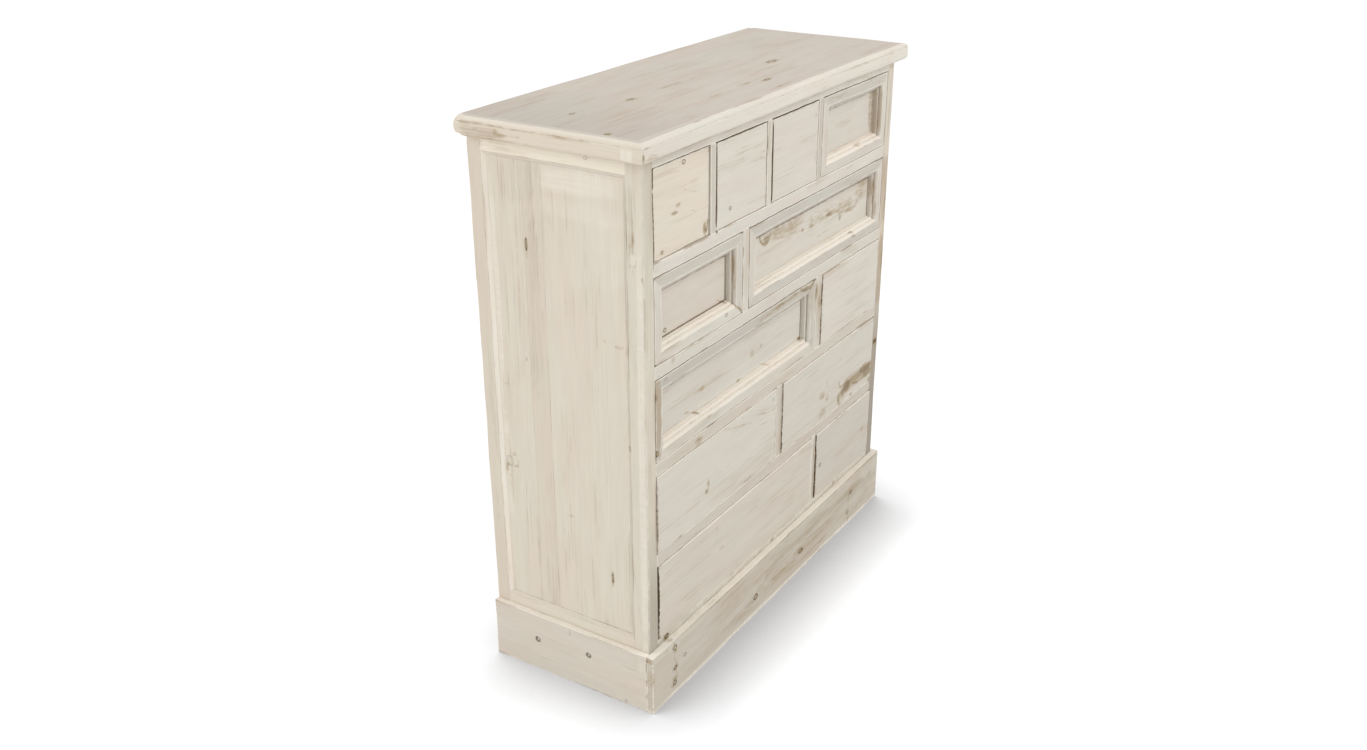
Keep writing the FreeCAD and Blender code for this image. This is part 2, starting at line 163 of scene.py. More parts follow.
def linear(hex_colour):
    """The linear colour of an sRGB hex value."""
    channels = [int(hex_colour[place:place + 2], 16) / 255 for place in (1, 3, 5)]
    return tuple(c / 12.92 if c <= 0.04045 else ((c + 0.055) / 1.055) ** 2.4 for c in channels)


# ---- What a user may change ----
class ChestTimber(bpy.types.PropertyGroup):
    """Sizes of the timber's surface."""
    arris: FloatProperty(name="Arris", description="Mean radius of the worn edges", default=0.0009,
                         unit="LENGTH", precision=4)
    ragged: FloatProperty(name="Ragged edge", default=0.0016, unit="LENGTH", precision=4,
                          description="How far the rough left edge of a drawer front is eaten")
    warp: FloatProperty(name="Warp", description="How far planed faces are out of true", default=0.0005,
                        unit="LENGTH", precision=4)
    shown_spacing: FloatProperty(name="Shown spacing", description="Grid spacing of timber that shows",
                                 default=0.0024, unit="LENGTH", precision=4)
    plain_spacing: FloatProperty(name="Plain spacing", description="Grid spacing of timber inside the case",
                                 default=0.024, unit="LENGTH", precision=4)
    seed: IntProperty(name="Seed", description="Start of the grain's random numbers", default=7)


class ChestColours(bpy.types.PropertyGroup):
    """Colours of the limed pine, the bare pine inside, the veneered drawer bottoms and the screws."""
    cream: FloatVectorProperty(name="Cream wash", description="Warm lime wash", subtype="COLOR",
                               default=linear("#E0D8C9"))
    cool: FloatVectorProperty(name="Cool wash", description="Lime wash with a grey-green cast",
                              subtype="COLOR", default=linear("#DAD5CA"))
    rosy: FloatVectorProperty(name="Rosy wash", description="Lime wash over reddish pine", subtype="COLOR",
                              default=linear("#DBD1C2"))
    grey: FloatVectorProperty(name="Grey wash", description="Thin dusty wash of the top", subtype="COLOR",
                              default=linear("#CFC6BB"))
    drab: FloatVectorProperty(name="Drab wash", description="Thin brownish wash of the plinth",
                              subtype="COLOR", default=linear("#D1CABE"))
    thick: FloatVectorProperty(name="Thick wash", description="Lime built up at edges and strokes",
                               subtype="COLOR", default=linear("#F2EBDF"))
    wood: FloatVectorProperty(name="Weathered wood", description="Wood that shows through the wash",
                              subtype="COLOR", default=linear("#AC9A82"))
    knot: FloatVectorProperty(name="Knot", description="Dark rim of the knots", subtype="COLOR",
                              default=linear("#55452F"))
    stain: FloatVectorProperty(name="Stain", description="Brown resin stains", subtype="COLOR",
                               default=linear("#A8926E"))
    raw: FloatVectorProperty(name="Raw edge", description="Dirt on sawn edges and in corners",
                             subtype="COLOR", default=linear("#66533A"))
    bare: FloatVectorProperty(name="Bare pine", description="Unfinished pine inside the case",
                              subtype="COLOR", default=linear("#D9C39C"))
    ring: FloatVectorProperty(name="Late wood", description="Darker growth rings of bare pine",
                              subtype="COLOR", default=linear("#B58E5C"))
    veneer: FloatVectorProperty(name="Veneer", description="Drawer bottoms", subtype="COLOR",
                                default=linear("#CFB48C"))
    steel: FloatVectorProperty(name="Steel", description="Dull zinc-plated screws", subtype="COLOR",
                               default=linear("#8F8B86"))


class ChestStage(bpy.types.PropertyGroup):
    """Camera, light and floor."""
    camera_place: FloatVectorProperty(name="Camera", description="Place of the camera", subtype="TRANSLATION",
                                      unit="LENGTH", default=(-1.79878, -1.09173, 1.33834))
    azimuth: FloatProperty(name="Azimuth", description="Turn of the view from straight in front",
                           unit="ROTATION", default=math.radians(-57.68))
    elevation: FloatProperty(name="Elevation", description="Height of the view over level", unit="ROTATION",
                             default=math.radians(24.27))
    roll: FloatProperty(name="Roll", description="Tilt of the camera", unit="ROTATION",
                        default=math.radians(-0.17))
    lens: FloatProperty(name="Lens", description="Focal length in mm on a 36 mm sensor", default=34.906)
    ambient: FloatProperty(name="Ambient", description="Strength of the world's even light", default=0.74)
    key_power: FloatProperty(name="Key lamp", description="Power of the large lamp on the left",
                             unit="POWER", default=32)
    fill_power: FloatProperty(name="Fill lamp", description="Power of the lamp in front",
                              unit="POWER", default=28)
    floor: FloatVectorProperty(name="Floor", description="Colour of the floor", subtype="COLOR",
                               default=linear("#F4F4F4"))
    seen_floor: FloatVectorProperty(name="Seen floor", subtype="COLOR", default=linear("#BEBFC1"),
                                    description="Colour of the floor as the camera sees it, without its glow")
    floor_glow: FloatProperty(name="Floor glow", default=0.62,
                              description="Light added to the open floor as the camera sees it")
    contact_reach: FloatProperty(name="Contact reach", unit="LENGTH", default=0.135,
                                 description="How far from the chest the floor loses its glow")
    shade_from: FloatVectorProperty(
        name="Shade from", subtype="DIRECTION", default=(0.14, 0.49, 0.86),
        description="Direction in which the chest takes most light from the floor")
    floor_radius: FloatProperty(name="Floor radius", description="Radius of the floor",
                                unit="LENGTH", default=14)


# ---- Timber: smooth random heights, outlines, boards and mouldings ----
def waves(points, length, seed):
    """A smooth random height from -1 to 1 at each point: the sum of eight sine waves of random directions and
    phases, whose lengths are from half to twice the given length."""
    count = 8
    numbers = np.random.default_rng(seed)
    directions = numbers.normal(size=(count, 3))
    directions /= np.linalg.norm(directions, axis=1)[:, None]
    lengths = length * 2 ** numbers.uniform(-1, 1, count)
    phases = numbers.uniform(0, 2 * np.pi, count)
    heights = np.sin(2 * np.pi * points @ (directions / lengths[:, None]).T + phases).sum(axis=1)
    return np.clip(heights / math.sqrt(2 * count), -1, 1)


def smooth_step(low, high, values):
    """0 below low, 1 above high and 3t² - 2t³ between them."""
    share = np.clip((values - low) / (high - low), 0, 1)
    return share * share * (3 - 2 * share)


def stick_of(points, quads, caps, grain_axis, edge):
    """A stick of timber: its surface, the axis that its grain runs along, how near each point is to an edge,
    and the fields that makers fill in, with how bright each point stays as its shade."""
    blank = np.zeros(len(points))
    return {"points": points, "quads": quads, "caps": caps, "axis": grain_axis, "edge": edge,
            "grime_and_shade": blank.copy(), "raw": blank.copy(), "wash": blank.copy(), "stain": blank.copy(),
            "shade": blank + 1, "low": points.min(axis=0), "high": points.max(axis=0)}


def grid_lines(low, high, spacing, edge_lines, extra=()):
    """Grid lines between two faces: close together near both edges, then evenly spaced."""
    edges = np.array([line for line in edge_lines if line < THICKEST_ARRIS * (high - low)])
    count = max(1, round((high - low - 2 * edges[-1]) / spacing))
    middle = np.linspace(low + edges[-1], high - edges[-1], count + 1)
    return np.unique(np.round(np.concatenate([low + edges, middle, high - edges, extra]), 7))


def box_grid(lines):
    """The six faces of a box as grids over its lines, turned outwards and welded along the box's edges."""
    points, quads, count = [], [], 0
    for axis in range(3):
        second, third = (axis + 1) % 3, (axis + 2) % 3
        a, b = np.meshgrid(lines[second], lines[third], indexing="ij")
        index = np.arange(a.size).reshape(a.shape)
        ring = np.stack([index[:-1, :-1], index[1:, :-1], index[1:, 1:], index[:-1, 1:]], axis=-1)
        ring = ring.reshape(-1, 4)
        for side, end in ((ring[:, ::-1], lines[axis][0]), (ring, lines[axis][-1])):
            face = np.empty((a.size, 3))
            face[:, axis], face[:, second], face[:, third] = end, a.ravel(), b.ravel()
            points.append(face)
            quads.append(side + count)
            count += a.size
    points = np.concatenate(points)
    _, first, place = np.unique(np.round(points * 1e6).astype(np.int64), axis=0,
                                return_index=True, return_inverse=True)
    return points[first], place.ravel()[np.concatenate(quads)]


def board(low, high, grain_axis, timber, seed, shown=True, arris=1.0, extra=((), (), ()), along=2.0):
    """A board with worn edges. Each point p of a box's grid goes to q + r (p - q) / |p - q|, where q is p
    held r inside the box, and the radius r of the arris wanders along the edges. The grid of a board that
    shows is wider along the grain than across it, as many times as along says."""
    low, high = np.array(low, float), np.array(high, float)
    edge_lines = SHOWN_EDGE_LINES if shown else PLAIN_EDGE_LINES
    spacing = np.full(3, timber.shown_spacing if shown else timber.plain_spacing)
    spacing[grain_axis] *= along if shown else 1
    lines = [grid_lines(low[a], high[a], spacing[a], edge_lines, extra[a]) for a in range(3)]
    points, quads = box_grid(lines)
    wander = 1
    for place, (share, length) in enumerate(ARRIS_WANDER):
        wander = wander + share * waves(points, length, seed + place)
    radius = np.clip(timber.arris * arris * wander, LEAST_ARRIS, THICKEST_ARRIS * (high - low).min())[:, None]
    inner = np.clip(points, low + radius, high - radius)
    away = points - inner
    near = np.sort(np.minimum(points - low, high - points), axis=1)[:, 1]
    placed = inner + radius * away / np.linalg.norm(away, axis=1)[:, None]
    stick = stick_of(placed, quads, [], grain_axis, np.clip(1 - near / edge_lines[-1], 0, 1))
    stick["facing"] = away / np.linalg.norm(away, axis=1)[:, None]
    return stick


def outline(corners, spacing):
    """A closed outline through corners (across, deep, radius, wear). A corner with a radius is a parabola
    between the points that far from it, and straight runs are divided at the spacing. A wear of 1 is a worn
    edge, partly a painted highlight, and -1 an inner corner with dirt and painted shade. Returns the
    outline's points and how near each is to either."""
    corners = np.array(corners, float)
    towards = np.roll(corners[:, :2], -1, axis=0) - corners[:, :2]
    towards /= np.linalg.norm(towards, axis=1)[:, None]
    points, wear = [], []
    for place, (corner, after) in enumerate(zip(corners, np.roll(corners, -1, axis=0))):
        start = corner[:2] - corner[2] * towards[place - 1]
        end = corner[:2] + corner[2] * towards[place]
        turns = np.linspace(0, 1, 5)[:, None] if corner[2] else np.zeros((1, 1))
        points.append((1 - turns) ** 2 * start + 2 * turns * (1 - turns) * corner[:2] + turns ** 2 * end)
        wear.append(np.full(len(turns), corner[3]))
        run = np.linalg.norm(after[:2] - after[2] * towards[place] - end)
        count = int(run // spacing) + 1
        shares = np.arange(1, count) / count
        points.append(end + shares[:, None] * run * towards[place])
        reach = np.where(np.array([corner[3], after[3]]) > 0, SHOWN_EDGE_LINES[-1], DIRT_AND_SHADE_REACH)[:, None]
        fade = np.clip(1 - run * np.stack([shares, 1 - shares]) / reach, 0, 1)
        wear.append(fade[0] * corner[3] + fade[1] * after[3])
    return np.concatenate(points), np.concatenate(wear)


def quarter_round(middle, radii, turn, wear=(0, 0)):
    """Corners along a quarter of an ellipse about its middle, from a turn in quarters of a circle, with the
    wear of its two ends."""
    angles = (turn + np.linspace(0, 1, 8)) * np.pi / 2
    wears = [wear[0]] + [0] * 6 + [wear[1]]
    return [(middle[0] + radii[0] * math.cos(angle), middle[1] + radii[1] * math.sin(angle), 0, worn)
            for angle, worn in zip(angles, wears)]


def bar(section, ends, origin, along, across, deep, spacing):
    """A moulding: a closed outline of points (w, d) carried along a line. Point j of section i is at
    origin + s along + w across + d deep, where s runs evenly from the outline's start to its end at j, so
    that starts and ends that change with w or d cut a mitre."""
    points, wear = section
    start, end = (np.broadcast_to(value, len(points)).astype(float) for value in ends)
    count = max(2, round(float((end - start).max()) / spacing) + 1)
    share = np.linspace(0, 1, count)[:, None]
    reach = start + share * (end - start)
    along, across, deep = (np.array(axis, float) for axis in (along, across, deep))
    placed = (np.array(origin, float) + reach[..., None] * along + points[:, 0, None] * across
              + points[:, 1, None] * deep).reshape(-1, 3)
    index = np.arange(len(placed)).reshape(count, len(points))
    following = np.roll(index, -1, axis=1)
    quads = np.stack([index[:-1], following[:-1], following[1:], index[1:]], axis=-1).reshape(-1, 4)
    caps = [index[0, ::-1].tolist(), index[-1].tolist()]
    area = np.sum(points[:, 0] * np.roll(points[:, 1], -1) - np.roll(points[:, 0], -1) * points[:, 1])
    if np.cross(across, deep) @ along * area < 0:
        quads = quads[:, ::-1]
        caps = [cap[::-1] for cap in caps]
    worn = np.tile(wear, count)
    stick = stick_of(placed, quads, caps, int(np.abs(along).argmax()), np.clip(worn, 0, 1))
    stick["grime_and_shade"] = np.clip(-worn, 0, 1)
    return stick


def mirrored(stick):
    """The same stick on the other side of the case, with its faces turned back outwards."""
    turned = dict(stick)
    turned["points"] = stick["points"] * (-1, 1, 1)
    turned["quads"] = stick["quads"][:, ::-1]
    turned["caps"] = [cap[::-1] for cap in stick["caps"]]
    turned["low"], turned["high"] = turned["points"].min(axis=0), turned["points"].max(axis=0)
    return turned


# ---- Marks: fields that the finish reads at each point ----
def in_case(plane, u, v):
    """World places, in metres, of marks given in mm from the left front foot of the case."""
    corner = np.array((case_left, case_front, 0))[list(plane)]
    return corner + 0.001 * np.stack([u, v], axis=-1)


def marks_within(stick, plane, marks):
    """The marks whose middle is on this stick."""
    axes = list(plane)
    low, high = stick["low"][axes], stick["high"][axes]
    return [mark for mark in marks if np.all((low <= in_case(plane, mark.u, mark.v))
                                             & (in_case(plane, mark.u, mark.v) <= high))]


def chance_knots(stick, plane, numbers, per_square_metre):
    """Small faint knots at random places on a stick."""
    axes = list(plane)
    low, high = stick["low"][axes], stick["high"][axes]
    corner = in_case(plane, 0, 0)
    count = numbers.poisson(per_square_metre * np.prod(high - low))
    places = 1000 * (low + (high - low) * numbers.uniform(0.04, 0.96, (count, 2)) - corner)
    return [Knot(u, v, *(numbers.uniform(*limits) for limits in CHANCE_KNOTS)) for u, v in places]


def add_knots(stick, plane, knots, grain):
    """Each point's offset from the knot nearest to it, in knot sizes along and across the grain, with the
    knot's depth, or a place far from any knot beyond its reach. The grain bends round each knot: it is drawn
    towards the knot's middle line by a bell curve of the distance."""
    points = stick["points"]
    offsets = np.zeros((len(points), 3))
    offsets[:, 0] = FAR_FROM_KNOTS
    if not knots:
        return offsets
    grain_axis = stick["axis"] if stick["axis"] in plane else plane[1]
    cross_axis = plane[0] if grain_axis == plane[1] else plane[1]
    middles = in_case(plane, [knot.u for knot in knots], [knot.v for knot in knots])
    size = 0.001 * np.array([knot.size for knot in knots])
    stretch = np.array([knot.stretch for knot in knots])
    depth = np.array([knot.depth for knot in knots])
    along = points[:, grain_axis, None] - middles[:, list(plane).index(grain_axis)]
    across = points[:, cross_axis, None] - middles[:, list(plane).index(cross_axis)]
    bend = across * np.exp(-(along / (BEND_REACH[0] * size * stretch)) ** 2
                           - (across / (BEND_REACH[1] * size)) ** 2)
    grain[:, 1] -= BEND_STRENGTH * bend.sum(axis=1)
    distance = np.hypot(along / (size * stretch), across / size)
    nearest = distance.argmin(axis=1)
    row = np.arange(len(points))
    close = distance[row, nearest] < KNOT_REACH
    offsets[close, 0] = (along[row, nearest] / (size * stretch)[nearest])[close]
    offsets[close, 1] = (across[row, nearest] / size[nearest])[close]
    offsets[close, 2] = depth[nearest][close]
    return offsets


def distance_to_line(place, corners):
    """Each point's distance to a line through corners: the least of its distances to the line's runs."""
    runs = np.diff(corners, axis=0)
    away = place[:, None] - corners[:-1]
    share = np.clip((away * runs).sum(axis=2) / (runs ** 2).sum(axis=1), 0, 1)
    return np.linalg.norm(away - share[..., None] * runs, axis=2).min(axis=1)


def stain_field(stick, plane, marks):
    """The strongest of the stains and trails at each point. Each is full within half its size and gone at one
    and a half times it."""
    strength = np.zeros(len(stick["points"]))
    place = stick["points"][:, list(plane)]
    for stain in marks.stains:
        offset = (place - in_case(plane, stain.u, stain.v)) / (0.001 * stain.length, 0.001 * stain.height)
        strength = np.maximum(strength, stain.strength * np.clip(1.5 - np.linalg.norm(offset, axis=1), 0, 1))
    for trail in marks.trails:
        distance = distance_to_line(place, in_case(plane, *np.array(trail.places, float).T))
        shown = np.clip(1.5 - distance / (0.001 * trail.width), 0, 1)
        strength = np.maximum(strength, trail.strength * shown)
    return strength


def block_field(stick, plane, blocks, seed):
    """The sum of the washes or dirt at each point. Each is full inside the rounded block x⁴ + y⁴ = 1, in
    its half lengths, and fades across its outline, which wanders."""
    total = np.zeros(len(stick["points"]))
    place = stick["points"][:, list(plane)]
    wander = BLOCK_WANDER[0] * waves(stick["points"], BLOCK_WANDER[1], seed)
    for block in blocks:
        offset = (place - in_case(plane, block.u, block.v)) / (0.001 * block.length, 0.001 * block.height)
        reach = (offset ** 4).sum(axis=1) ** 0.25 + wander
        total += block.strength * (1 - smooth_step(*BLOCK_FADE, reach))
    return np.clip(total, -1, 1)


def season(stick, timber, tint, seed, plane=FRONT, marks=Marks(), thin=0.5, chance=0.0):
    """Warps a stick within its own box, and works out the fields that its finish reads. Thin is how far the
    wash is worn all over, and chance the number of chance knots on a square metre."""
    points = stick["points"]
    sway = np.stack([waves(points, WARP_LENGTH, timber.seed + axis) for axis in range(3)], axis=1)
    numbers = np.random.default_rng(seed)
    order = [stick["axis"]] + [axis for axis in (2, 1, 0) if axis != stick["axis"]]
    grain = points[:, order] + numbers.uniform(1, 40, 3)
    placed_knots = marks_within(stick, plane, marks.knots) + chance_knots(stick, plane, numbers, chance)
    stick["knot"] = add_knots(stick, plane, placed_knots, grain)
    stick["grain"] = grain
    stain = np.maximum(stick["stain"], stain_field(stick, plane, marks))
    wash = np.clip(stick["wash"] + block_field(stick, plane, marks.washes, seed), -1, 1)
    raw = np.maximum(stick["raw"], block_field(stick, plane, marks.dirt, seed + 1))
    stick["marks"] = np.stack([stain, raw, np.full(len(points), thin)], axis=1)
    stick["edges"] = np.stack([stick["edge"], stick["grime_and_shade"], wash], axis=1)
    brightness, hue = STICK_VARIETY
    shade = np.array(tint) * (1 + numbers.normal(0, brightness)) * (1 + numbers.normal(0, hue, 3))
    stick["tint"] = shade * stick["shade"][:, None]
    stick["points"] = np.clip(points + timber.warp * sway, stick["low"], stick["high"])
    return stick


def timber_piece(name, sticks, material, node, body):
    """Puts seasoned sticks into one mesh, which rides on a body and stands for a CAD node."""
    starts = np.cumsum([0] + [len(stick["points"]) for stick in sticks[:-1]])
    points = np.concatenate([stick["points"] for stick in sticks])
    polygons = np.concatenate([stick["quads"] + start for stick, start in zip(sticks, starts)]).tolist()
    for stick, start in zip(sticks, starts):
        polygons += [[corner + int(start) for corner in cap] for cap in stick["caps"]]
    mesh = bpy.data.meshes.new(name)
    mesh.from_pydata(points, [], polygons)
    for field in ("grain", "knot", "marks", "edges", "tint"):
        values = np.concatenate([stick[field] for stick in sticks]).astype(np.float32)
        mesh.attributes.new(field, "FLOAT_VECTOR", "POINT").data.foreach_set("vector", values.ravel())
    mesh.polygons.foreach_set("use_smooth", np.ones(len(mesh.polygons), bool))
    mesh.set_sharp_from_angle(angle=SHARP_TURN)
    mesh.materials.append(material)
    piece = bpy.data.objects.new(name, mesh)
    bpy.context.scene.collection.objects.link(piece)
    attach(piece, body)
    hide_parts(node)
    return piece


def solid_boxes(node):
    """The box of each separate solid of a CAD node. Points at the same place are joined, and each point then
    takes the lowest number among those of its triangles until nothing changes."""
    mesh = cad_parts[node].data
    places = np.zeros(len(mesh.vertices) * 3, np.float32)
    mesh.vertices.foreach_get("co", places)
    corners = np.zeros(len(mesh.loops), np.int32)
    mesh.loops.foreach_get("vertex_index", corners)
    places, number = np.unique(np.round(places.reshape(-1, 3), 6), axis=0, return_inverse=True)
    triangles = number.ravel()[corners].reshape(-1, 3)
    label = np.arange(len(places))
    while True:
        lowest = label.copy()
        np.minimum.at(lowest, triangles.ravel(), np.repeat(label[triangles].min(axis=1), 3))
        if np.array_equal(lowest, label):
            break
        label = lowest
    solids = [places[label == solid] for solid in np.unique(label)]
    return [(solid.min(axis=0), solid.max(axis=0)) for solid in solids]


def node_box(node):
    """A CAD node's box as two arrays."""
    low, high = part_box(node)
    return np.array(low), np.array(high)


def split(low, high, axis, widths):
    """A box cut into boards of the given widths along an axis, the last of which takes the rest."""
    seams = low[axis] + np.concatenate([[0], np.cumsum(widths)])
    boards = []
    for start, end in zip(seams, np.append(seams[1:], high[axis])):
        lower, upper = low.copy(), high.copy()
        lower[axis], upper[axis] = start, end
        boards.append((lower, upper))
    return boards


# ---- Finishes ----
def add(tree, kind, inputs=(), out=0, **settings):
    """Adds a node to a tree with its own settings, and its inputs as values or other nodes' outputs. Returns
    the output with the given number."""
    node = tree.nodes.new("ShaderNode" + kind)
    for name, value in settings.items():
        setattr(node, name, value)
    for socket, value in dict(inputs).items():
        if isinstance(value, bpy.types.NodeSocket):
            tree.links.new(value, node.inputs[socket])
        else:
            node.inputs[socket].default_value = value
    return node.outputs[out] if node.outputs else node


def new_finish(name):
    """An empty material and its node tree."""
    material = bpy.data.materials.new(name)
    material.use_nodes = True
    material.node_tree.nodes.clear()
    return material, material.node_tree


def limed_pine(name, colours):
    """Limed pine: a brushed lime wash, rubbed back so that it stays in the pores and lies thinner on the hard
    late wood. It gives the eye a chalky, nearly matt cream with faint streaks, pale edges that are partly a
    painted highlight, knots that grin through, and brown dirt and painted shade in the corners and on sawn
    edges.

    The pores are 2 mm wide and 140 mm long, the brush strokes 10 mm by 100 mm and the clouds 45 mm by
    200 mm."""
    material, tree = new_finish(name)
    grain, tint, marks, edges, knot = (add(tree, "Attribute", out=1, attribute_name=field)
                                       for field in ("grain", "tint", "marks", "edges", "knot"))

    # Patterns drawn out along the grain, with their cycles per metre along it, across it and in depth.
    pattern = {}
    for layer, cycles, detail, rough in (
            ("pores", (7, 430, 430), 3, 0.6), ("stroke", (10, 95, 95), 2, 0.5), ("band", (5, 22, 22), 2, 0.5),
            ("patch", (9, 44, 44), 4, 0.62), ("fleck", (60, 210, 210), 3, 0.6),
            ("late wood", (3, 230, 230), 2, 0.45), ("across", (170, 9, 9), 3, 0.6)):
        place = add(tree, "VectorMath", {0: grain, 1: cycles}, operation="MULTIPLY")
        pattern[layer] = add(tree, "TexNoise", {"Vector": place, "Scale": 1, "Detail": detail,
                                                "Roughness": rough})
    pores, band, patch, fleck = (pattern[layer] for layer in ("pores", "band", "patch", "fleck"))
    stain_mark, raw_dirt_and_shade_mark, thin = add(tree, "SeparateXYZ", {0: marks}).node.outputs
    worn_and_highlight_mark, grime_and_shade_mark, wash_mark = add(tree, "SeparateXYZ", {0: edges}).node.outputs
    knot_along, knot_across, knot_depth = add(tree, "SeparateXYZ", {0: knot}).node.outputs
    from_knot = add(tree, "CombineXYZ", {0: knot_along, 1: knot_across})
    from_knot = add(tree, "VectorMath", {0: from_knot}, out=1, operation="LENGTH")
    wood, knot_colour, stain_colour, dirt_and_shade_colour, thick = (
        (*value, 1) for value in (colours.wood, colours.knot, colours.stain, colours.raw, colours.thick))

    # Heights: each starts from a mark or a number, and each part adds as much of itself as its weight says.
    height = {}
    for layer, start, parts in (
            ("wash depth", 0.85, ((pattern["stroke"], 0.10), (pores, 0.20))),
            ("brush strokes", -0.05, ((pattern["across"], 1.4),)),
            ("bare wood", -1.2, ((patch, 0.8), (pores, 1.6), (wash_mark, -1))),
            ("worn wash", thin, ((pores, 0.42), (patch, 0.34), (band, 0.34))),
            ("worn edge", worn_and_highlight_mark, ((fleck, 0.7),)),
            ("stain", -1.4, ((stain_mark, 1.2), (patch, 1.4), (fleck, 1.4))),
            ("knot", from_knot, ((fleck, 0.9),)),
            ("corner dirt", grime_and_shade_mark, ((fleck, 0.8),)),
            ("sawn dirt", raw_dirt_and_shade_mark, ((fleck, 0.7),))):
        for part, weight in parts:
            start = add(tree, "Math", {0: part, 1: weight, 2: start}, operation="MULTIPLY_ADD")
        height[layer] = start
    off_ring = add(tree, "Math", {0: height["knot"], 1: 1.36}, operation="SUBTRACT")
    off_ring = add(tree, "Math", {0: off_ring}, operation="ABSOLUTE")

    # Shares: each goes from nothing to its fullest as a height goes from one limit to the other.
    share = {}
    for layer, value, none, full, fullest in (
            ("rosy", band, 0.36, 0.64, 1), ("brushed", wash_mark, 0, 1, 0.90),
            ("bare wood", height["bare wood"], 0.05, 1, 0.75),
            ("worn wash", height["worn wash"], 1.06, 1.38, 0.32),
            ("late wood", pattern["late wood"], 0.54, 0.63, 1),
            ("late wood patches", patch, 0.48, 0.62, 0.20),
            ("worn edge", height["worn edge"], 0.75, 1.20, 0.75), ("rubbed through", patch, 0.55, 0.63, 1),
            ("stain present", stain_mark, 0, 0.25, 1), ("stain", height["stain"], 0.20, 1.10, 0.66),
            ("stain middle", height["stain"], 0.80, 1.45, 0.50),
            ("knot heart", height["knot"], 1.70, 1.10, 0.28), ("knot ring", off_ring, 0.31, 0.05, 0.95),
            ("dirt", height["corner dirt"], 0.75, 1.30, 0.85),
            ("sawn dirt", height["sawn dirt"], 0.60, 1.10, 0.95)):
        share[layer] = add(tree, "MapRange", {0: value, 1: none, 2: full, 4: fullest},
                           interpolation_type="SMOOTHSTEP")
    for layer, where in (("brushed", height["brush strokes"]), ("late wood", share["late wood patches"]),
                         ("stain", share["stain present"]), ("stain middle", share["stain present"]),
                         ("knot heart", knot_depth), ("knot ring", knot_depth)):
        share[layer] = add(tree, "Math", {0: share[layer], 1: where}, operation="MULTIPLY")
    # Dirt on sawn edges and in corners, with the painted shade in gaps, under rails and in screw sinkings.
    share["dirt"] = add(tree, "Math", {0: share["dirt"], 1: share["sawn dirt"]}, operation="MAXIMUM")

    # The wash is rosy in some clouds and greenish in others, and its depth follows the pores and the brush.
    rosy = add(tree, "VectorMath", {0: tint, 1: (0.987, 0.957, 0.946)}, operation="MULTIPLY")
    greenish = add(tree, "VectorMath", {0: tint, 1: (0.981, 0.985, 0.974)}, operation="MULTIPLY")
    colour = add(tree, "Mix", {0: share["rosy"], 6: greenish, 7: rosy}, out=2, data_type="RGBA")
    colour = add(tree, "VectorMath", {0: colour, 3: height["wash depth"]}, operation="SCALE")

    # Worn edges are pale where the wash built up, which also serves as a painted highlight along the arris,
    # and brown where it has rubbed through. The other layers are grey wood under a thin wash, late wood in
    # patches, thick wash brushed across the grain, cloudy stains with dark middles, knots with a pale heart
    # in a broken brown ring, and dirt and painted shade in corners, in gaps and on sawn edges.
    edge_colour = add(tree, "Mix", {0: share["rubbed through"], 6: thick, 7: wood}, out=2, data_type="RGBA")
    for layer, layer_colour in (
            ("bare wood", wood), ("worn wash", wood), ("late wood", stain_colour), ("brushed", thick),
            ("worn edge", edge_colour), ("stain", stain_colour), ("stain middle", knot_colour),
            ("knot heart", stain_colour), ("knot ring", knot_colour), ("dirt", dirt_and_shade_colour)):
        colour = add(tree, "Mix", {0: share[layer], 6: colour, 7: layer_colour}, out=2, data_type="RGBA")

    # Late wood and knot rings lie a little deeper than the wash.
    relief = add(tree, "Math", {0: share["late wood"], 1: -2.0, 2: pores}, operation="MULTIPLY_ADD")
    relief = add(tree, "Math", {0: share["knot ring"], 1: -0.6, 2: relief}, operation="MULTIPLY_ADD")
    normal = add(tree, "Bump", {"Strength": 0.6, "Distance": 0.0004, "Height": relief})
    roughness = add(tree, "MapRange", {0: patch, 1: 0.3, 2: 0.7, 3: 0.64, 4: 0.80})
    shader = add(tree, "BsdfPrincipled", {"Base Color": colour, "Roughness": roughness, "Normal": normal,
                                          "IOR": 1.45, "Specular IOR Level": 0.3})
    add(tree, "OutputMaterial", {0: shader})
    return material


def bare_pine(name, pale, ring_colour, ring_width, roughness):
    """Bare sawn pine or pine veneer: pale early wood between darker late wood lines a few mm apart, with no
    finish and matt. It gives the eye warm straw with fine drawn-out lines and faint cloudy patches.

    The fibres are 1 mm wide and 33 mm long, and the clouds 45 mm by 140 mm."""
    material, tree = new_finish(name)
    grain = add(tree, "Attribute", out=1, attribute_name="grain")
    patterns = []
    for cycles, detail, rough in (((2.2, 1 / ring_width, 1 / ring_width), 3, 0.45), ((30, 900, 900), 2, 0.5),
                                  ((7, 22, 22), 3, 0.5)):
        place = add(tree, "VectorMath", {0: grain, 1: cycles}, operation="MULTIPLY")
        patterns.append(add(tree, "TexNoise", {"Vector": place, "Scale": 1, "Detail": detail,
                                               "Roughness": rough}))
    lines, fibre, cloud = patterns
    share = add(tree, "MapRange", {0: lines, 1: 0.46, 2: 0.62, 4: 0.75}, interpolation_type="SMOOTHSTEP")
    colour = add(tree, "Mix", {0: share, 6: (*pale, 1), 7: (*ring_colour, 1)}, out=2, data_type="RGBA")
    shade = add(tree, "MapRange", {0: cloud, 1: 0.3, 2: 0.7, 3: 0.86, 4: 1.06})
    shade = add(tree, "Math", {0: fibre, 1: 0.12, 2: shade}, operation="MULTIPLY_ADD")
    colour = add(tree, "VectorMath", {0: colour, 1: add(tree, "CombineXYZ", {0: shade, 1: shade, 2: shade})},
                 operation="MULTIPLY")
    normal = add(tree, "Bump", {"Strength": 0.5, "Distance": 0.0003, "Height": fibre})
    shader = add(tree, "BsdfPrincipled", {"Base Color": colour, "Roughness": roughness, "Normal": normal,
                                          "IOR": 1.45})
    add(tree, "OutputMaterial", {0: shader})
    return material


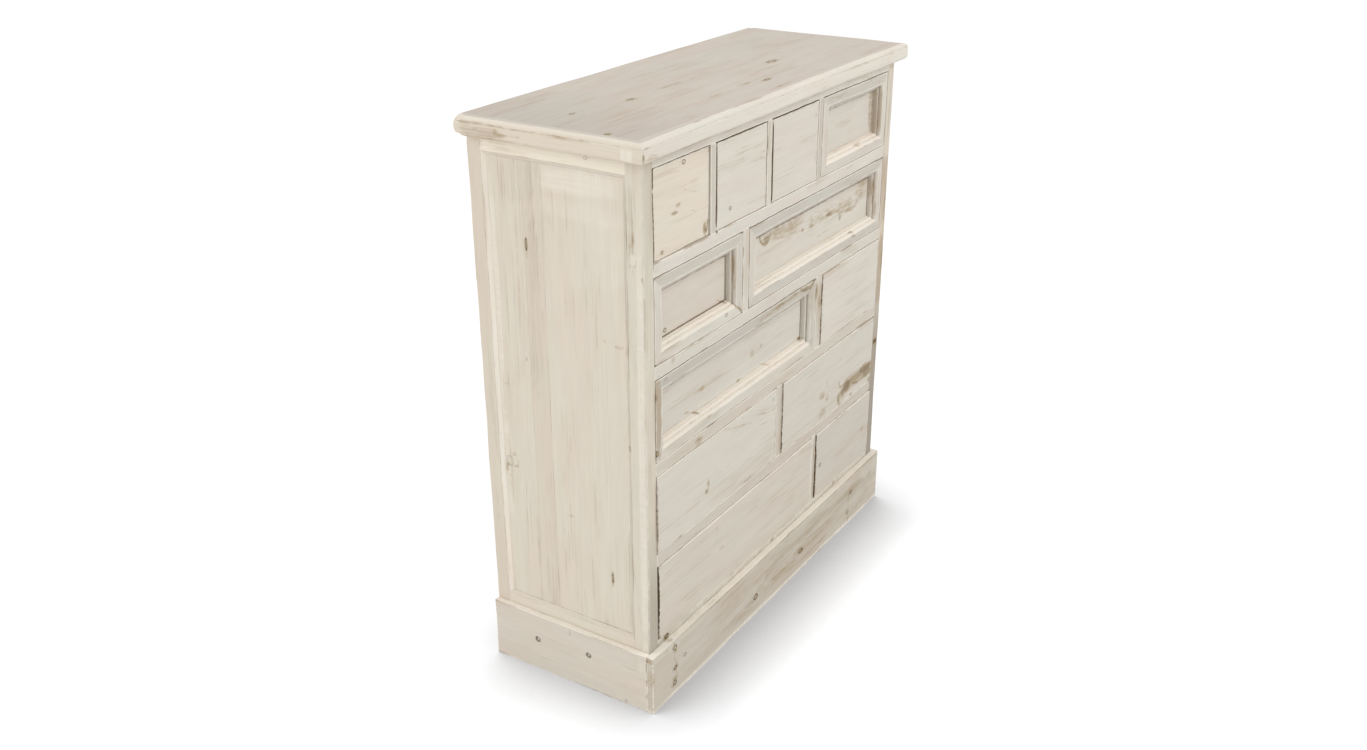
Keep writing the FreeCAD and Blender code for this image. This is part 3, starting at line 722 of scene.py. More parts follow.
def screw_steel(name, colour):
    """Zinc-plated steel, turned and dulled by lime dust, with lime left in the middle of each head. It gives
    the eye a dark grey ring with pale specks, drawn 1 mm wide, about a pale spot."""
    material, tree = new_finish(name)
    place = add(tree, "TexCoord", out=3)
    on_side = add(tree, "VectorMath", {0: place, 1: (0, 1, 1)}, operation="MULTIPLY")
    near, far = (add(tree, "VectorMath", {0: on_side, 1: (0, case_front + along, height)}, out=1,
                     operation="DISTANCE") for along, height in SCREW_PLACES)
    off_axis = add(tree, "Math", {0: near, 1: far}, operation="MINIMUM")
    bare = add(tree, "MapRange", {0: off_axis, 1: 0.0014, 2: 0.0022})
    dust = add(tree, "TexNoise", {"Vector": place, "Scale": 900, "Detail": 3})
    dust = add(tree, "MapRange", {0: dust, 1: 0.45, 2: 0.65}, interpolation_type="SMOOTHSTEP")
    dusty, limed = (*linear("#C9C3B8"), 1), (*linear("#E4DCCD"), 1)
    tone = add(tree, "Mix", {0: dust, 6: (*colour, 1), 7: dusty}, out=2, data_type="RGBA")
    tone = add(tree, "Mix", {0: bare, 6: limed, 7: tone}, out=2, data_type="RGBA")
    roughness = add(tree, "MapRange", {0: dust, 3: 0.38, 4: 0.7})
    metal = add(tree, "Math", {0: bare, 1: 0.85}, operation="MULTIPLY")
    shader = add(tree, "BsdfPrincipled", {"Base Color": tone, "Roughness": roughness, "Metallic": metal})
    add(tree, "OutputMaterial", {0: shader})
    return material


def finish(name):
    """The named finish, made when it is first asked for."""
    colours = bpy.context.scene.chest_colours
    if name not in bpy.data.materials:
        if name == "brushed_lime_on_pine":
            limed_pine(name, colours)
        elif name == "unfinished_pine":
            bare_pine(name, colours.bare, colours.ring, 0.004, 0.72)
        elif name == "pine_veneer":
            bare_pine(name, colours.veneer, colours.ring, 0.009, 0.55)
        elif name == "dull_screw_steel":
            screw_steel(name, colours.steel)
    return bpy.data.materials[name]


def limed_piece(node, sticks, body="case"):
    """A piece of limed pine that stands for a CAD node."""
    return timber_piece(node + "_limed", sticks, finish("brushed_lime_on_pine"), node, body)


def bare_piece(node, sticks, body="case"):
    """A piece of bare pine that stands for a CAD node."""
    return timber_piece(node + "_bare", sticks, finish("unfinished_pine"), node, body)


# ---- Marks on the timber, read off each face of the chest ----
FRONT_MARKS = Marks(
    knots=(
        Knot(106, 857, 3.6, 1.3, 0.9), Knot(232, 758, 3.2, 1.2, 0.7), Knot(49, 742, 2.4, 1.0, 0.6),
        Knot(165, 744, 2.6, 0.8, 1.0), Knot(502, 843, 2.0, 1.2, 0.4), Knot(73, 616, 3.4, 1.1, 0.9),
        Knot(223, 592, 2.8, 1.2, 0.7), Knot(52, 550, 2.6, 1.4, 0.5), Knot(111, 558, 2.4, 1.4, 0.4),
        Knot(672, 592, 2.2, 1.2, 0.8), Knot(677, 579, 2.6, 1.0, 1.0), Knot(28, 440, 3.4, 1.2, 1.0),
        Knot(360, 489, 3.0, 1.1, 0.5), Knot(637, 633, 2.6, 0.9, 0.4), Knot(382, 386, 2.2, 1.3, 0.5),
        Knot(785, 347, 5.0, 1.1, 1.0), Knot(568, 177, 3.4, 1.3, 0.8), Knot(47, 109, 4.6, 1.2, 1.0),
        Knot(634, 110, 2.6, 1.2, 0.8), Knot(392, 108, 2.8, 1.2, 0.9), Knot(313, 36, 5.6, 1.2, 1.0),
        Knot(482, 41, 4.2, 1.7, 1.0), Knot(690, 66, 4.0, 1.2, 1.0), Knot(679, 26, 3.8, 1.1, 1.0),
        Knot(53, 88, 4.0, 1.2, 1.0), Knot(54, 50, 4.2, 1.2, 0.9), Knot(52, 22, 4.8, 1.2, 0.9),
    ),
    stains=(
        Stain(90, 799, 9, 3.5, 0.9), Stain(82, 790, 9, 3.2, 0.9), Stain(49, 742, 5, 4, 0.6),
        Stain(162, 746, 5, 11, 0.85), Stain(232, 757, 5, 4, 0.4), Stain(503, 769, 5, 6, 0.6),
        Stain(-19, 893, 2.2, 9, 0.95), Stain(-12, 904, 7, 1.8, 0.7), Stain(4, 888, 14, 6, 0.45),
        Stain(497, 877, 22, 3, 0.7), Stain(315, 875, 18, 2.5, 0.5), Stain(580, 858, 45, 3.5, 0.55),
        Stain(728, 767, 9, 4, 0.55), Stain(674, 757, 15, 2.6, 0.75), Stain(790, 871, 10, 3, 0.7),
        Stain(119, 658, 5, 3, 0.45), Stain(120, 642, 3, 4, 0.35), Stain(143, 594, 5, 2, 0.4),
        Stain(71, 573, 8, 6, 0.7), Stain(248, 662, 2.6, 20, 0.85), Stain(249, 635, 2.2, 12, 0.6),
        Stain(371, 669, 13, 8, 0.8), Stain(408, 672, 40, 11, 0.62), Stain(457, 666, 44, 13, 0.52),
        Stain(560, 657, 60, 13, 0.46), Stain(650, 652, 50, 14, 0.44), Stain(712, 664, 22, 20, 0.52),
        Stain(449, 680, 4, 6, 0.8), Stain(463, 681, 4, 5, 0.85), Stain(594, 651, 16, 5, 0.95),
        Stain(569, 652, 12, 4, 0.8), Stain(496, 648, 5, 4.5, 0.85), Stain(528, 648, 10, 4, 0.85),
        Stain(637, 633, 6, 8, 0.7), Stain(558, 622, 11, 2.6, 0.7), Stain(581, 624, 13, 2.6, 0.7),
        Stain(723, 670, 18, 11, 0.55), Stain(662, 600, 8, 2.4, 0.6), Stain(664, 594, 5, 2.2, 0.8),
        Stain(290, 712, 4, 2, 0.8), Stain(752, 655, 3, 26, 0.8), Stain(757, 620, 3, 16, 0.6),
        Stain(173, 486, 10, 7, 0.45), Stain(330, 486, 8, 8, 0.5), Stain(286, 455, 7, 2.6, 0.7),
        Stain(493, 454, 6, 3.2, 1.0), Stain(174, 440, 7, 3, 0.6), Stain(28, 440, 6, 7, 1.0),
        Stain(27, 530, 3.5, 7, 1.0), Stain(23, 434, 4, 4, 0.9), Stain(400, 549, 32, 4, 0.95),
        Stain(440, 551, 26, 4, 0.75), Stain(487, 550, 9, 5, 1.0), Stain(528, 530, 5, 14, 0.75),
        Stain(540, 508, 9, 12, 0.65), Stain(548, 520, 2.2, 20, 1.0), Stain(548, 455, 2.5, 28, 0.85),
        Stain(797, 510, 3, 32, 1.0), Stain(797, 610, 4, 60, 0.7), Stain(142, 410, 10, 8, 0.7),
        Stain(172, 323, 5, 7, 0.8), Stain(167, 312, 5, 4.5, 0.85), Stain(205, 372, 8, 5, 0.35),
        Stain(58, 280, 6, 5, 0.4), Stain(566, 320, 11, 9, 0.65), Stain(586, 337, 7, 8, 0.5),
        Stain(587, 307, 8, 7, 0.6), Stain(567, 286, 14, 12, 0.45), Stain(636, 366, 8, 3.5, 0.6),
        Stain(636, 285, 6, 11, 0.95), Stain(643, 271, 5, 5, 0.85), Stain(654, 292, 13, 14, 0.80),
        Stain(668, 298, 22, 13, 0.95), Stain(696, 302, 22, 8, 0.75), Stain(748, 306, 36, 11, 1.0),
        Stain(722, 302, 30, 11, 0.85), Stain(757, 296, 28, 9, 0.95), Stain(764, 319, 8, 3, 0.7),
        Stain(745, 316, 16, 4, 0.75), Stain(690, 273, 6, 3, 0.85), Stain(771, 275, 8, 6, 0.75),
        Stain(785, 347, 8, 8, 1.0), Stain(799, 342, 2.5, 4, 0.9), Stain(213, 186, 9, 4, 0.45),
        Stain(292, 160, 6, 9, 0.35), Stain(566, 181, 6, 3, 0.7), Stain(749, 178, 8, 6, 0.5),
        Stain(47, 109, 8, 6, 1.0), Stain(392, 109, 4, 2.6, 0.7), Stain(634, 111, 4, 2.6, 0.6),
        Stain(52, 92, 5, 7, 1.0), Stain(54, 82, 4, 4, 0.9), Stain(54, 49, 8, 5, 1.0),
        Stain(57, 56, 4, 6, 0.8), Stain(52, 30, 9, 5, 0.85), Stain(50, 18, 9, 5, 0.8),
        Stain(28, 96, 8, 4, 0.5), Stain(313, 36, 7, 5, 0.7), Stain(470, 47, 18, 4, 0.75),
        Stain(482, 40, 13, 4, 1.0), Stain(476, 62, 4, 8, 0.5), Stain(515, 67, 26, 6, 0.55),
        Stain(590, 48, 18, 4, 0.5), Stain(690, 66, 5, 4, 0.7), Stain(679, 26, 5, 4, 0.7),
        Stain(570, 20, 30, 3, 0.6), Stain(350, 56, 10, 5, 0.5), Stain(-9, 64, 3.5, 17, 0.62),
        Stain(-8, 34, 3.5, 20, 0.42), Stain(-10, 98, 3, 5, 0.6),
    ),
    trails=(
        Trail(((105, 819), (130, 810), (158, 801)), 1.7, 0.4), Trail(((128, 783), (142, 776)), 1.8, 0.4),
        Trail(((170, 757), (169, 745), (164, 736)), 2.0, 1.0),
        Trail(((195, 829), (260, 825), (335, 822)), 1.8, 0.38),
        Trail(((195, 816), (260, 814), (335, 812)), 2.4, 0.42), Trail(((200, 836), (330, 833)), 1.6, 0.25),
        Trail(((250, 597), (262, 589), (269, 583)), 2.6, 0.85), Trail(((218, 614), (236, 606)), 1.6, 0.9),
        Trail(((346, 684), (349, 672), (358, 664), (368, 659), (378, 665), (384, 674)), 3.0, 0.85),
        Trail(((465, 681), (475, 674), (498, 663), (528, 657)), 2.6, 0.45),
        Trail(((528, 657), (558, 653), (584, 650), (609, 650)), 5.4, 0.62),
        Trail(((609, 650), (635, 647), (660, 642), (685, 638)), 4.6, 0.55),
        Trail(((685, 638), (700, 640), (704, 650), (703, 665), (707, 682)), 2.8, 0.5),
        Trail(((386, 662), (427, 658), (467, 653), (496, 648)), 4.0, 0.45),
        Trail(((126, 462), (141, 457), (155, 451)), 2.2, 0.8),
        Trail(((353, 459), (366, 454), (375, 450)), 2.0, 0.6), Trail(((330, 546), (370, 548)), 2.6, 0.6),
        Trail(((470, 553), (486, 549), (505, 547), (514, 552), (519, 557)), 3.4, 0.95),
        Trail(((29, 560), (27, 545), (27, 520)), 2.0, 0.7),
        Trail(((215, 398), (260, 385), (300, 375), (350, 362)), 1.5, 0.45),
        Trail(((230, 393), (290, 379), (345, 366)), 1.3, 0.40),
        Trail(((330, 386), (360, 377), (388, 372)), 1.4, 0.52),
        Trail(((280, 393), (325, 381), (360, 370), (388, 366)), 1.3, 0.50),
        Trail(((318, 374), (350, 366), (372, 360), (388, 358)), 1.2, 0.42),
        Trail(((300, 368), (335, 358), (365, 352), (388, 350)), 1.2, 0.40),
        Trail(((688, 296), (700, 293), (716, 288)), 2.6, 0.9),
        Trail(((716, 289), (745, 287), (778, 288)), 2.4, 0.7),
        Trail(((635, 318), (640, 308), (652, 300)), 3.0, 0.6),
        Trail(((45, 226), (110, 231), (200, 228)), 4.5, 0.42),
        Trail(((52, 98), (53, 70), (55, 45), (54, 12)), 1.8, 0.75),
        Trail(((330, 38), (380, 37), (430, 36), (460, 33)), 2.4, 0.6),
        Trail(((684, 75), (682, 45), (681, 5)), 2.6, 0.6),
        Trail(((60, 101), (300, 100), (560, 100), (800, 100)), 3.0, 0.55),
        # The trail along 884 mm is brown stain and painted shade under the edging.
        Trail(((14, 884), (60, 883.5), (120, 883), (170, 883)), 2.4, 0.65),
        Trail(((315, 40), (345, 49), (375, 60)), 1.4, 0.7),
        Trail(((420, 33), (300, 28), (200, 18)), 2.0, 0.45), Trail(((245, 604), (269, 580)), 1.0, 1.0),
    ),
    washes=(
        Wash(265, 820, 75, 9, -0.25), Wash(747, 805, 14, 44, -0.8), Wash(248, 650, 7, 45, -0.30),
        Wash(760, 650, 10, 45, -0.38), Wash(32, 495, 8, 62, -1.0), Wash(529, 490, 24, 60, -0.45),
        Wash(120, 437, 85, 7, -0.4), Wash(790, 490, 11, 62, -0.75), Wash(280, 290, 110, 20, -0.3),
        Wash(546, 181, 6, 66, -0.9), Wash(410, 336, 4, 66, -0.6), Wash(400, 3, 430, 4, 0.9),
        Wash(500, 80, 300, 16, -0.25), Wash(24, 330, 4, 60, -0.7), Wash(500, 30, 300, 12, -0.25),
        Wash(560, 60, 250, 18, -0.3), Wash(731, 665, 20, 18, -0.4), Wash(427, 680, 90, 10, -0.25),
        Wash(790, 650, 11, 60, -0.45), Wash(90, 730, 60, 5, 0.4), Wash(640, 755, 90, 5, 0.5),
        Wash(540, 600, 200, 4, 0.6), Wash(300, 455, 200, 6, 0.4), Wash(718, 300, 60, 15, -0.50),
        Wash(430, 110, 360, 6, 0.6), Wash(430, 60, 380, 34, -0.12),
    ),
    dirt=(
        # Most blocks lie along the drawers' left edges, as dirt and painted shade in the gaps; those at 864.4
        # mm are painted shade under the top rail.
        Dirt(28.4, 853, 2.6, 15, 1.0), Dirt(28.0, 786, 2.2, 56, 0.70), Dirt(192.4, 800, 1.9, 66, 0.85),
        Dirt(358.9, 800, 1.8, 66, 0.95), Dirt(99, 864.4, 73, 1.2, 0.40), Dirt(265, 864.4, 75, 1.2, 0.45),
        Dirt(434, 864.4, 76, 1.2, 0.45), Dirt(551.4, 500, 1.0, 60, 0.40), Dirt(27.2, 336, 1.8, 64, 0.50),
        Dirt(415.9, 336, 1.0, 66, 0.45), Dirt(26.2, 205, 0.7, 38, 0.8), Dirt(26.2, 150, 0.7, 34, 0.6),
        Dirt(551.0, 165, 1.1, 50, 0.6), Dirt(788, 347, 7, 6, 0.75),
    ),
)
SIDE_MARKS = Marks(
    knots=(
        Knot(205, 731, 1.8, 5.0, 1.0), Knot(69, 216, 1.6, 5.0, 1.0), Knot(260, 368, 6.5, 1.3, 0.22),
        Knot(30, 452, 2.6, 1.4, 0.8), Knot(216, 551, 1.6, 1.6, 0.5), Knot(41, 6, 2.0, 1.2, 0.6),
    ),
    stains=(
        Stain(205, 731, 3, 12, 0.8), Stain(69, 216, 3, 12, 0.8), Stain(250, 381, 5, 4, 0.7),
        Stain(244, 370, 3, 8, 0.6), Stain(248, 361, 6, 3, 0.7), Stain(264, 362, 5, 4, 0.9),
        Stain(266, 353, 3, 5, 0.7), Stain(261, 342, 3, 3, 0.5), Stain(17, 772, 3.0, 14, 0.75),
        Stain(23, 762, 3, 5, 0.55), Stain(18, 722, 2.4, 8, 0.4), Stain(30, 451, 3.4, 5, 0.8),
        Stain(3, 716, 2, 6, 0.7), Stain(142, 304, 10, 3, 0.4), Stain(257, 499, 5, 3, 0.45),
        Stain(217, 425, 8, 4, 0.3), Stain(190, 578, 9, 5, 0.3), Stain(148, 93, 1.6, 6, 0.85),
        Stain(275, 870, 2.6, 6, 0.5), Stain(228, 897, 5, 5, 0.5), Stain(262, 897, 8, 3, 0.4),
    ),
    trails=(
        Trail(((33, 602), (48, 607), (72, 611)), 2.2, 0.5),
        Trail(((70, 903), (150, 903), (290, 904)), 2.2, 0.55), Trail(((188, 894), (222, 892)), 1.8, 0.5),
        # The trail along 885 mm is dirt and painted shade at the foot of the edging's lower round.
        Trail(((150, 884), (190, 885), (290, 885)), 2.0, 0.5), Trail(((18, 800), (17, 770)), 2.4, 0.4),
        Trail(((11, 744), (14, 734), (21, 731), (26, 737)), 1.6, 0.6),
        Trail(((25, 748), (27, 742)), 1.4, 0.5),
    ),
    washes=(
        Wash(108, 835, 66, 17, 0.55), Wash(108, 795, 66, 14, 0.30), Wash(232, 830, 48, 40, -0.18),
        Wash(197, 640, 14, 140, -0.35), Wash(31, 730, 4, 120, -0.4), Wash(20, 790, 9, 60, -0.25),
        Wash(30, 400, 4, 200, -0.3), Wash(264, 560, 5, 290, 0.55), Wash(60, 735, 22, 50, 0.25),
        Wash(8, 430, 6, 320, 0.6), Wash(22, 480, 6, 330, -0.14), Wash(10, 893, 9, 8, 0.7),
        Wash(250, 893, 40, 6, -0.5), Wash(256, 480, 9, 40, -0.3), Wash(18, 742, 5, 8, 0.8),
    ),
)
TOP_MARKS = Marks(
    knots=(
        Knot(191, 149, 3.6, 1.5, 0.7), Knot(74, 167, 3.4, 1.3, 0.6), Knot(417, 46, 3.4, 2.0, 0.7),
        Knot(549, 110, 5.4, 2.4, 0.65), Knot(3, 57, 3.0, 1.3, 0.9), Knot(365, 150, 3.0, 1.4, 0.3),
    ),
    stains=(
        Stain(377, 59, 30, 4, 0.7), Stain(280, 57, 22, 5, 0.6), Stain(377, 6, 40, 3, 0.7),
        Stain(694, 6, 26, 3, 0.7), Stain(549, 110, 22, 8, 0.70), Stain(417, 46, 15, 6, 0.85),
        Stain(191, 149, 18, 8, 0.65), Stain(74, 167, 13, 5, 0.6), Stain(3, 57, 9, 6, 0.95),
        Stain(300, 150, 40, 3, 0.5), Stain(480, 88, 60, 3, 0.45), Stain(640, 140, 50, 4, 0.4),
    ),
    trails=(
        Trail(((0, 256), (65, 257), (130, 256)), 1.8, 0.6),
    ),
)

# The wash of each drawer front, how thin it is, from 0 to 1, and the share of its brightness that it keeps.
DRAWER_WASHES = (("cream", 0.41, 1.0), ("cool", 0.45, 1.03), ("cool", 0.43, 0.98), ("cool", 0.48, 0.955),
                 ("drab", 0.42, 1.04), ("cool", 0.46, 1.0), ("cool", 0.52, 0.93), ("cool", 0.40, 1.0),
                 ("cool", 0.42, 0.965), ("cool", 0.42, 0.955), ("drab", 0.52, 1.045), ("drab", 0.44, 1.0))
# The wash and brightness of the rails from the bottom up, and of the dividers from the top left, row by row.
RAIL_WASHES = (("drab", 0.905), ("drab", 0.96), ("drab", 1.0), ("cool", 0.94), ("cool", 1.03), ("cool", 1.0))
DIVIDER_WASHES = (("drab", 0.96), ("drab", 1.05), ("drab", 0.93), ("cool", 0.98), ("cool", 0.94),
                  ("drab", 0.98), ("cool", 0.95))
# The wash of the side's staves from front to back, and of the bevels of the posts and rails round them.
STAVE_WASHES = ("cream", "rosy", "cream")
BEVEL_WASHES = {"front": "drab", "back": "thick", "rails": "cream"}
# How bright the back post's bevel, the side's top rail, the top's edging and the plinth's boards stay, and
# how thick the lime is on the edging's upper round. The top rail is painted lighter against the shade under
# the top's overhang, and the edging's lime also stands as a painted highlight along its arris.
BACK_BEVEL_SHADE = 1.04
TOP_RAIL_PAINTED_LIGHT = 1.15
EDGING_SHADE = 1.07
EDGING_LIME_AND_HIGHLIGHT = 0.45
PLINTH_FRONT_SHADE = 0.975
PLINTH_SIDE_SHADE = 1.06
# Painted shade: how much darker the top gets towards its left end, and how long that stretch is, in metres.
TOP_LEFT_PAINTED_SHADE = 0.10
TOP_LEFT_SHADE_LENGTH = 0.24
# How thin the wash on the posts' front faces is.
FRONT_FACE_WASH = -0.2
# The first drawer of each row from the top, and how bright the front of the left and the right post stays at
# each row's middle, from the bottom up.
FIRST_DRAWERS = (1, 5, 7, 9, 11)
POST_SHADES = {"left": (0.67, 0.93, 0.95, 0.98, 0.88), "right": (0.50, 0.52, 0.93, 1.0, 0.88)}
# The drawers with a dirty, ragged left end, and how dirty it is on these and on the others.
DIRTY_LEFT_ENDS = (1, 2, 3, 8, 10, 11, 12)
DIRTY_END = 1.0
CLEANER_END = 0.35
# The drawers with painted shade along the top of the front, under the rail, and how dark it is.
SHADED_TOP_DRAWERS = (1, 2, 3)
DRAWER_TOP_PAINTED_SHADE = 0.8
# The drawers whose upward faces get a painted highlight in the thick wash's pale colour.
PAINTED_HIGHLIGHT_TOPS = (8, 9, 10, 11, 12)
# How much dirt and painted shade a frame's moulding has in its corners, and how thick its lime, for its
# bottom, top, left and right member. The thick lime on the bottom member, whose moulding faces up, is also
# a painted highlight.
MEMBER_LOOKS = ((0.55, 0.85), (0.80, 0.0), (0.80, 0.0), (0.95, 0.10))
# How bright each framed front's bottom, top, left and right member stays.
FRAME_SHADES = {4: (0.925, 0.83, 1.0, 0.97), 5: (0.99, 0.84, 0.95, 0.90), 6: (0.85, 0.81, 0.94, 0.98),
                7: (0.96, 0.785, 0.87, 0.905)}
# How dark the corner between panel and moulding is at the bottom, top, left and right, with dirt and
# painted shade; the top one reaches further down the panel, where the top member shades it.
CREVICES = {4: (0.35, 0.55, 0.4, 0.6), 5: (0.9, 0.65, 0.4, 0.9), 6: (0.15, 0.75, 0.4, 0.9),
            7: (0.35, 0.6, 0.4, 0.85)}
CREVICE_LINES = (0, 0.0007, 0.0014, 0.0021)
CREVICE_REACH = (0.0021, 0.0055, 0.0021, 0.0021)
ROUNDED_FRAMES = (5,)


def seed_of(timber, *words):
    """A seed of its own for each named stick."""
    return timber.seed + zlib.crc32(" ".join(map(str, words)).encode())


# ---- Top ----
def edging_section(spacing):
    """Section of the top's edging, (in from the outer edge, up): upper round, quirk, flat face and lower
    round."""
    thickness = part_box("top_edging")[1].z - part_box("top_edging")[0].z
    shoulder = thickness - EDGING_TOP_ROUND[1]
    upper = quarter_round((EDGING_TOP_ROUND[0], shoulder),
                          (EDGING_TOP_ROUND[0] - EDGING_QUIRK, EDGING_TOP_ROUND[1]), 1, (1.0, -0.6))
    lower = quarter_round((EDGING_LOW_ROUND, EDGING_LOW_ROUND), (EDGING_LOW_ROUND, EDGING_LOW_ROUND), 2)
    return outline([(EDGING_WIDTH, 0, 0, 0), (EDGING_WIDTH, thickness, 0, 0)] + upper
                   + [(0, shoulder - EDGING_QUIRK, 0, 0.6)] + lower, spacing)


def round_back_end(points, low, high):
    """Rounds the back end of the left edging: nearing the end, a point leans in by a share of 1 - √(1 - t²),
    where t is 0 half way up the edging and 1 at its top and bottom."""
    near_end = smooth_step(-EDGING_END_ROUND, 0, points[:, 1] - high[1])
    off_middle = np.clip(np.abs(2 * points[:, 2] - low[2] - high[2]) / (high[2] - low[2]), 0, 1)
    lean = EDGING_END_LEAN * near_end * (1 - np.sqrt(1 - off_middle ** 2))
    points[:, 0] += lean * (low[0] + EDGING_WIDTH - points[:, 0])


def make_top(timber, colours):
    low, high = node_box("top_boards")
    boards = []
    for place, (lower, upper) in enumerate(split(low, high, 1, TOP_BOARD_WIDTHS)):
        seed = seed_of(timber, "top", place)
        stick = board(lower, upper, 0, timber, seed, arris=0.35)
        stick["edge"] *= JOINT_WEAR
        # Painted shade: the top darkens towards its left end.
        stick["shade"] *= 1 - TOP_LEFT_PAINTED_SHADE * smooth_step(TOP_LEFT_SHADE_LENGTH, 0, stick["points"][:, 0] - low[0])
        boards.append(season(stick, timber, colours.grey, seed, TOP, TOP_MARKS, thin=0.53, chance=5))
    limed_piece("top_boards", boards)

    low, high = node_box("top_edging")
    section = edging_section(EDGING_SPACING)
    inset = section[0][:, 0]
    length, depth = high[0] - low[0], high[1] - low[1]
    front = bar(section, (inset, length - inset), low, (1, 0, 0), (0, 1, 0), (0, 0, 1), timber.shown_spacing)
    left = bar(section, (inset, depth), low, (0, 1, 0), (1, 0, 0), (0, 0, 1), timber.shown_spacing)
    round_back_end(left["points"], low, high)
    right = mirrored(left)
    for name, stick, plane, tint, marks in (("front", front, FRONT, colours.cool, FRONT_MARKS),
                                            ("left", left, SIDE, colours.rosy, SIDE_MARKS),
                                            ("right", right, SIDE, colours.rosy, Marks())):
        below_top = high[2] - stick["points"][:, 2]
        on_top = below_top < 1e-4
        # The upper round gets thicker lime, which also stands as a painted highlight along its arris.
        stick["wash"] = EDGING_LIME_AND_HIGHLIGHT * smooth_step(0.005, 0.002, below_top) * ~on_top
        stick["shade"] *= EDGING_SHADE
        season(stick, timber, tint, seed_of(timber, "edging", name), plane, marks, thin=0.46, chance=10)
        stick["tint"][on_top] = colours.grey
    limed_piece("top_edging", [front, left, right])


# ---- Sides of the case ----
def side_sticks(kind, timber):
    """The left side's front post, back post or rails: each is a bar with a flat face, and its bevel towards
    the panel, mitred at both ends."""
    panel_low, panel_high = node_box("side_panel_left")
    recess = panel_low[0] - case_left
    width = openings_left - case_left
    arris = timber.arris
    front_flat = panel_low[1] - case_front
    back_flat = case_back - panel_high[1]
    rail_foot = node_box("side_rails_left")[0][2]
    length = panel_high[1] - panel_low[1]
    top_flat = case_top - panel_high[2]
    spacing = timber.shown_spacing

    def framing(flat, foot, ends, bevel_ends, origin, along, deep, rebate=False, crest=0.5, corner=-0.8):
        """A bar that is flat from foot to flat, and its bevel beyond. Crest and corner are the wear where the
        bevel leaves the flat and where it meets the panel."""
        inner = [(width, foot, 0, 0)]
        if rebate:
            lap = width - BACK_BOARD_LAP
            inner = [(lap, foot, 0, 0), (lap, BACK_BOARD_THICKNESS, 0, 0),
                     (width, BACK_BOARD_THICKNESS, 0, 0)]
        body = outline([(0, foot, arris, 1)] + inner + [(width, flat, 0, 0), (0, flat, 0, crest)], spacing)
        bevel = outline([(0, flat, 0, crest), (width, flat, 0, 0), (width, flat + SIDE_BEVEL, 0, 0),
                         (recess, flat + SIDE_BEVEL, 0, corner)], BEVEL_SPACING)
        beyond = bevel[0][:, 1] - flat
        return [bar(body, ends, origin, along, (1, 0, 0), deep, 2 * spacing),
                bar(bevel, (bevel_ends[0] + beyond, bevel_ends[1] - beyond), origin, along, (1, 0, 0),
                    deep, 2 * spacing)]

    if kind == "front":
        return framing(front_flat, 0, (0, case_top), (panel_low[2], panel_high[2]),
                       (case_left, case_front, 0), (0, 0, 1), (0, 1, 0))
    if kind == "back":
        return framing(back_flat, 0, (0, case_top), (panel_low[2], panel_high[2]),
                       (case_left, case_back, 0), (0, 0, 1), (0, -1, 0),
                       rebate=True, crest=-0.5, corner=-0.1)
    return (framing(panel_low[2], rail_foot, (0, length), (0, length),
                    (case_left, panel_low[1], 0), (0, 1, 0), (0, 0, 1))
            + framing(top_flat, 0, (0, length), (0, length),
                      (case_left, panel_low[1], case_top), (0, 1, 0), (0, 0, -1)))


def mark_front_face(post, side, seed):
    """Puts the front's marks and shades on the front face of a post, whose other marks are the side's."""
    on_front = 1 - smooth_step(0.001, 0.003, post["points"][:, 1] - case_front)
    post["stain"] = on_front * stain_field(post, FRONT, FRONT_MARKS)
    post["wash"] = on_front * (block_field(post, FRONT, FRONT_MARKS.washes, seed) + FRONT_FACE_WASH)
    post["raw"] = on_front * block_field(post, FRONT, FRONT_MARKS.dirt, seed)
    rows = [np.mean([corner.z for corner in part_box(f"drawer_{number:02d}_front")])
            for number in FIRST_DRAWERS[::-1]]
    post["shade"] += on_front * (np.interp(post["points"][:, 2], rows, POST_SHADES[side]) - 1)


def make_side_frames(timber, colours):
    for kind, node in (("front", "post_front"), ("back", "post_back"), ("rails", "side_rails")):
        for side in ("left", "right"):
            seed = seed_of(timber, node, side)
            sticks = side_sticks(kind, timber)
            if side == "right":
                sticks = [mirrored(stick) for stick in sticks]
            marks = SIDE_MARKS if side == "left" else Marks()
            tint = colours.rosy if kind == "back" else colours.cream
            if side == "left" and kind == "back":
                sticks[1]["shade"] *= BACK_BEVEL_SHADE
            if kind == "front":
                mark_front_face(sticks[0], side, seed)
            for place, stick in enumerate(sticks):
                stick["edge"] *= FRAME_WEAR
                # The top rail is painted lighter, against the shade under the top's overhang.
                if kind == "rails" and stick["high"][2] > 0.99 * case_top:
                    stick["shade"] *= TOP_RAIL_PAINTED_LIGHT
                if place == 1:
                    tint = getattr(colours, BEVEL_WASHES[kind])
                season(stick, timber, tint, seed, SIDE, marks, thin=0.48, chance=1)
            limed_piece(f"{node}_{side}", sticks)


def make_side_panels(timber, colours):
    for side in ("left", "right"):
        low, high = node_box(f"side_panel_{side}")
        marks = SIDE_MARKS if side == "left" else Marks()
        staves = []
        for place, (lower, upper) in enumerate(split(low, high, 1, STAVE_WIDTHS)):
            seed = seed_of(timber, "stave", side, place)
            tint = getattr(colours, STAVE_WASHES[place])
            stick = board(lower, upper, 2, timber, seed, arris=0.3)
            stick["edge"] *= JOINT_WEAR
            to_edge = np.minimum(stick["points"] - low, high - stick["points"])[:, 1:].min(axis=1)
            stick["grime_and_shade"] = BEVEL_DIRT_AND_SHADE * np.clip(1 - np.abs(to_edge - SIDE_BEVEL) / BEVEL_DIRT_AND_SHADE_REACH, 0, 1)
            staves.append(season(stick, timber, tint, seed, SIDE, marks, thin=0.46, chance=6))
        limed_piece(f"side_panel_{side}", staves)


